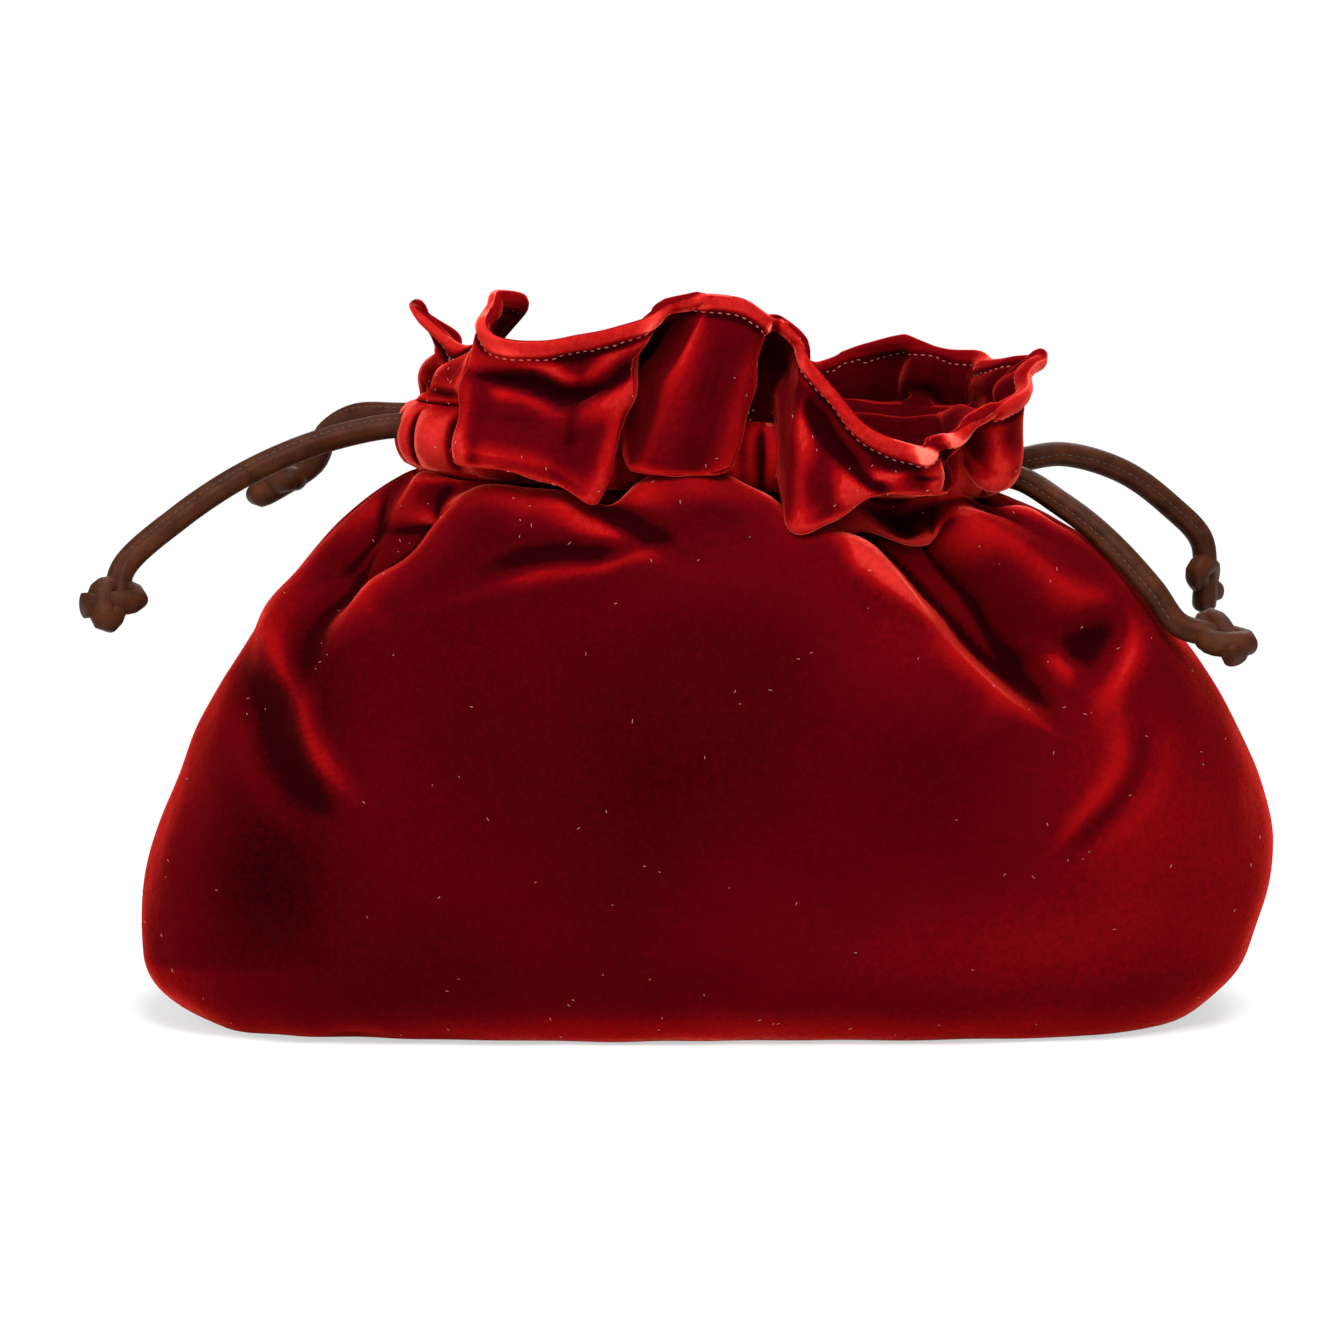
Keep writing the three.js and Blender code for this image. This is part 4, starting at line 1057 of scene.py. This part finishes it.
# Lining: a pouch that hangs clear inside the folds, by height up the body and slack in millimetres
LINING_LEVELS = [
    (0.04, 5.0), (0.12, 7.0), (0.2, 12.0), (0.3, 17.0), (0.45, 19.0),
    (0.6, 19.0), (0.75, 18.0), (0.85, 17.0), (0.93, 16.0), (1.0, 14.0),
]
LINING_COLS, LINING_CLOTH, LINING_GAP = 61, 0.8, 1.0
BOTTOM_SHARES, BOTTOM_RISE = (0.02, 0.5), 0.6
WRINKLE_SEED, WRINKLE_LENGTH, WRINKLE_HEIGHT = 8, 26, 0.8


def lining_ring(w, slack):
    t = np.linspace(0, 1, LINING_COLS)
    ring = []
    for side, order in ((-1, t), (1, t[::-1])):
        q = plain_body(side, order, np.full_like(order, w))
        q -= body_normal(side, order, np.full_like(order, w)) * slack
        q[:, 1] = side * np.maximum(LINING_GAP, q[:, 1] * side)
        ring.append(q[:-1])
    return np.concatenate(ring)


def build_lining():
    rings = [lining_ring(w, slack) for w, slack in LINING_LEVELS]
    rise = np.array((0, 0, BOTTOM_RISE))
    bottom = [rings[0] * np.array((k, k, 1)) + rise for k in BOTTOM_SHARES]
    pouch = np.stack([*bottom, *rings])
    height = waves(pouch, WRINKLE_SEED, WRINKLE_LENGTH) * WRINKLE_HEIGHT
    wrinkle = grid_normal(pouch) * height[..., None]
    wrinkle[: len(bottom) + 1] = 0
    pouch += wrinkle
    shell = np.concatenate([pouch, (pouch - grid_normal(pouch) * LINING_CLOTH)[::-1]])
    around = shell.shape[1]
    faces = []
    for j in range(len(shell)):
        for i in range(around):
            k, m = (i + 1) % around, (j + 1) % len(shell)
            faces.append([j * around + i, j * around + k, m * around + k, m * around + i])
    ob = mesh_object("lining_pouch", shell.reshape(-1, 3), faces, lining_cloth)
    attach(ob, "root")
    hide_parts("lining")
    return ob


lining = build_lining()

# Floor, light and camera: the floor in millimetres, the rest in metres and watts
FLOOR_HALF, FLOOR_Z, FLOOR_GREY = 3000, -0.2, (0.85, 0.85, 0.85, 1)
# The camera sees the floor whiter with its distance from the bag, so that a soft shadow stays under it
WHITE_FADE = {"From Min": 0.1, "From Max": 0.3, "To Min": 0.55, "To Max": 1.0}
WORLD_LIGHT = 0.4
LAMP_AIM = (0, 0, 0.1)
LENS, SENSOR, VIEW_WIDTH, CAMERA_RISE = 110.0, 36.0, 0.3463, math.radians(8)
CAMERA_AIM = Vector((-0.0101, 0.0, 0.089))


def white_to_camera(nt, lit, white, seen, out):
    """Light meets the lit shader, and the camera sees the white one as far as seen says."""
    choose = node(nt, "MixShader")
    nt.links.new(seen, choose.inputs[0])
    nt.links.new(lit.outputs[0], choose.inputs[1])
    nt.links.new(white.outputs[0], choose.inputs[2])
    nt.links.new(choose.outputs[0], out.inputs[0])


def floor_material():
    m = bpy.data.materials.new("pale floor")
    nt = empty_tree(m)
    away = node(nt, "VectorMath")
    away.operation = "LENGTH"
    nt.links.new(node(nt, "TexCoord").outputs["Object"], away.inputs[0])
    fade = node(nt, "MapRange", WHITE_FADE)
    nt.links.new(away.outputs["Value"], fade.inputs["Value"])
    seen = node(nt, "Math")
    seen.operation = "MULTIPLY"
    nt.links.new(node(nt, "LightPath").outputs["Is Camera Ray"], seen.inputs[0])
    nt.links.new(fade.outputs[0], seen.inputs[1])
    pale = node(nt, "BsdfDiffuse", {"Color": FLOOR_GREY})
    white = node(nt, "Emission", {"Color": WHITE, "Strength": 1.0})
    white_to_camera(nt, pale, white, seen.outputs[0], node(nt, "OutputMaterial"))
    return m


def studio_world():
    world = bpy.data.worlds.new("studio")
    nt = empty_tree(world)
    ambient = node(nt, "Background", {"Color": WHITE, "Strength": WORLD_LIGHT})
    white = node(nt, "Background", {"Color": WHITE, "Strength": 1.0})
    seen = node(nt, "LightPath").outputs["Is Camera Ray"]
    white_to_camera(nt, ambient, white, seen, node(nt, "OutputWorld"))
    return world


def area_light(name, place, size, power):
    data = bpy.data.lights.new(name, "AREA")
    data.size = size
    data.energy = power
    ob = bpy.data.objects.new(name, data)
    scene.collection.objects.link(ob)
    ob.location = place
    ob.rotation_euler = (Vector(LAMP_AIM) - Vector(place)).to_track_quat("-Z", "Y").to_euler()


corners = [(x * FLOOR_HALF, y * FLOOR_HALF, FLOOR_Z) for x, y in ((-1, -1), (1, -1), (1, 1), (-1, 1))]
floor = mesh_object("floor", corners, [[0, 1, 2, 3]], floor_material(), smooth_shade=False)
scene.world = studio_world()
area_light("key", (0.1, -0.6, 1.0), size=0.6, power=22.0)
area_light("fill", (-0.9, -0.6, 0.6), size=0.6, power=6.0)
area_light("back", (0.2, 0.9, 0.9), size=0.8, power=14.0)

cam_data = bpy.data.cameras.new("camera")
cam_data.lens = LENS
cam_data.sensor_width = SENSOR
cam = bpy.data.objects.new("camera", cam_data)
scene.collection.objects.link(cam)
back_off = Vector((0, -math.cos(CAMERA_RISE), math.sin(CAMERA_RISE))) * (VIEW_WIDTH * LENS / SENSOR)
cam.location = CAMERA_AIM + back_off
cam.rotation_euler = (CAMERA_AIM - cam.location).to_track_quat("-Z", "Y").to_euler()
scene.camera = cam
scene.view_settings.view_transform = "Standard"
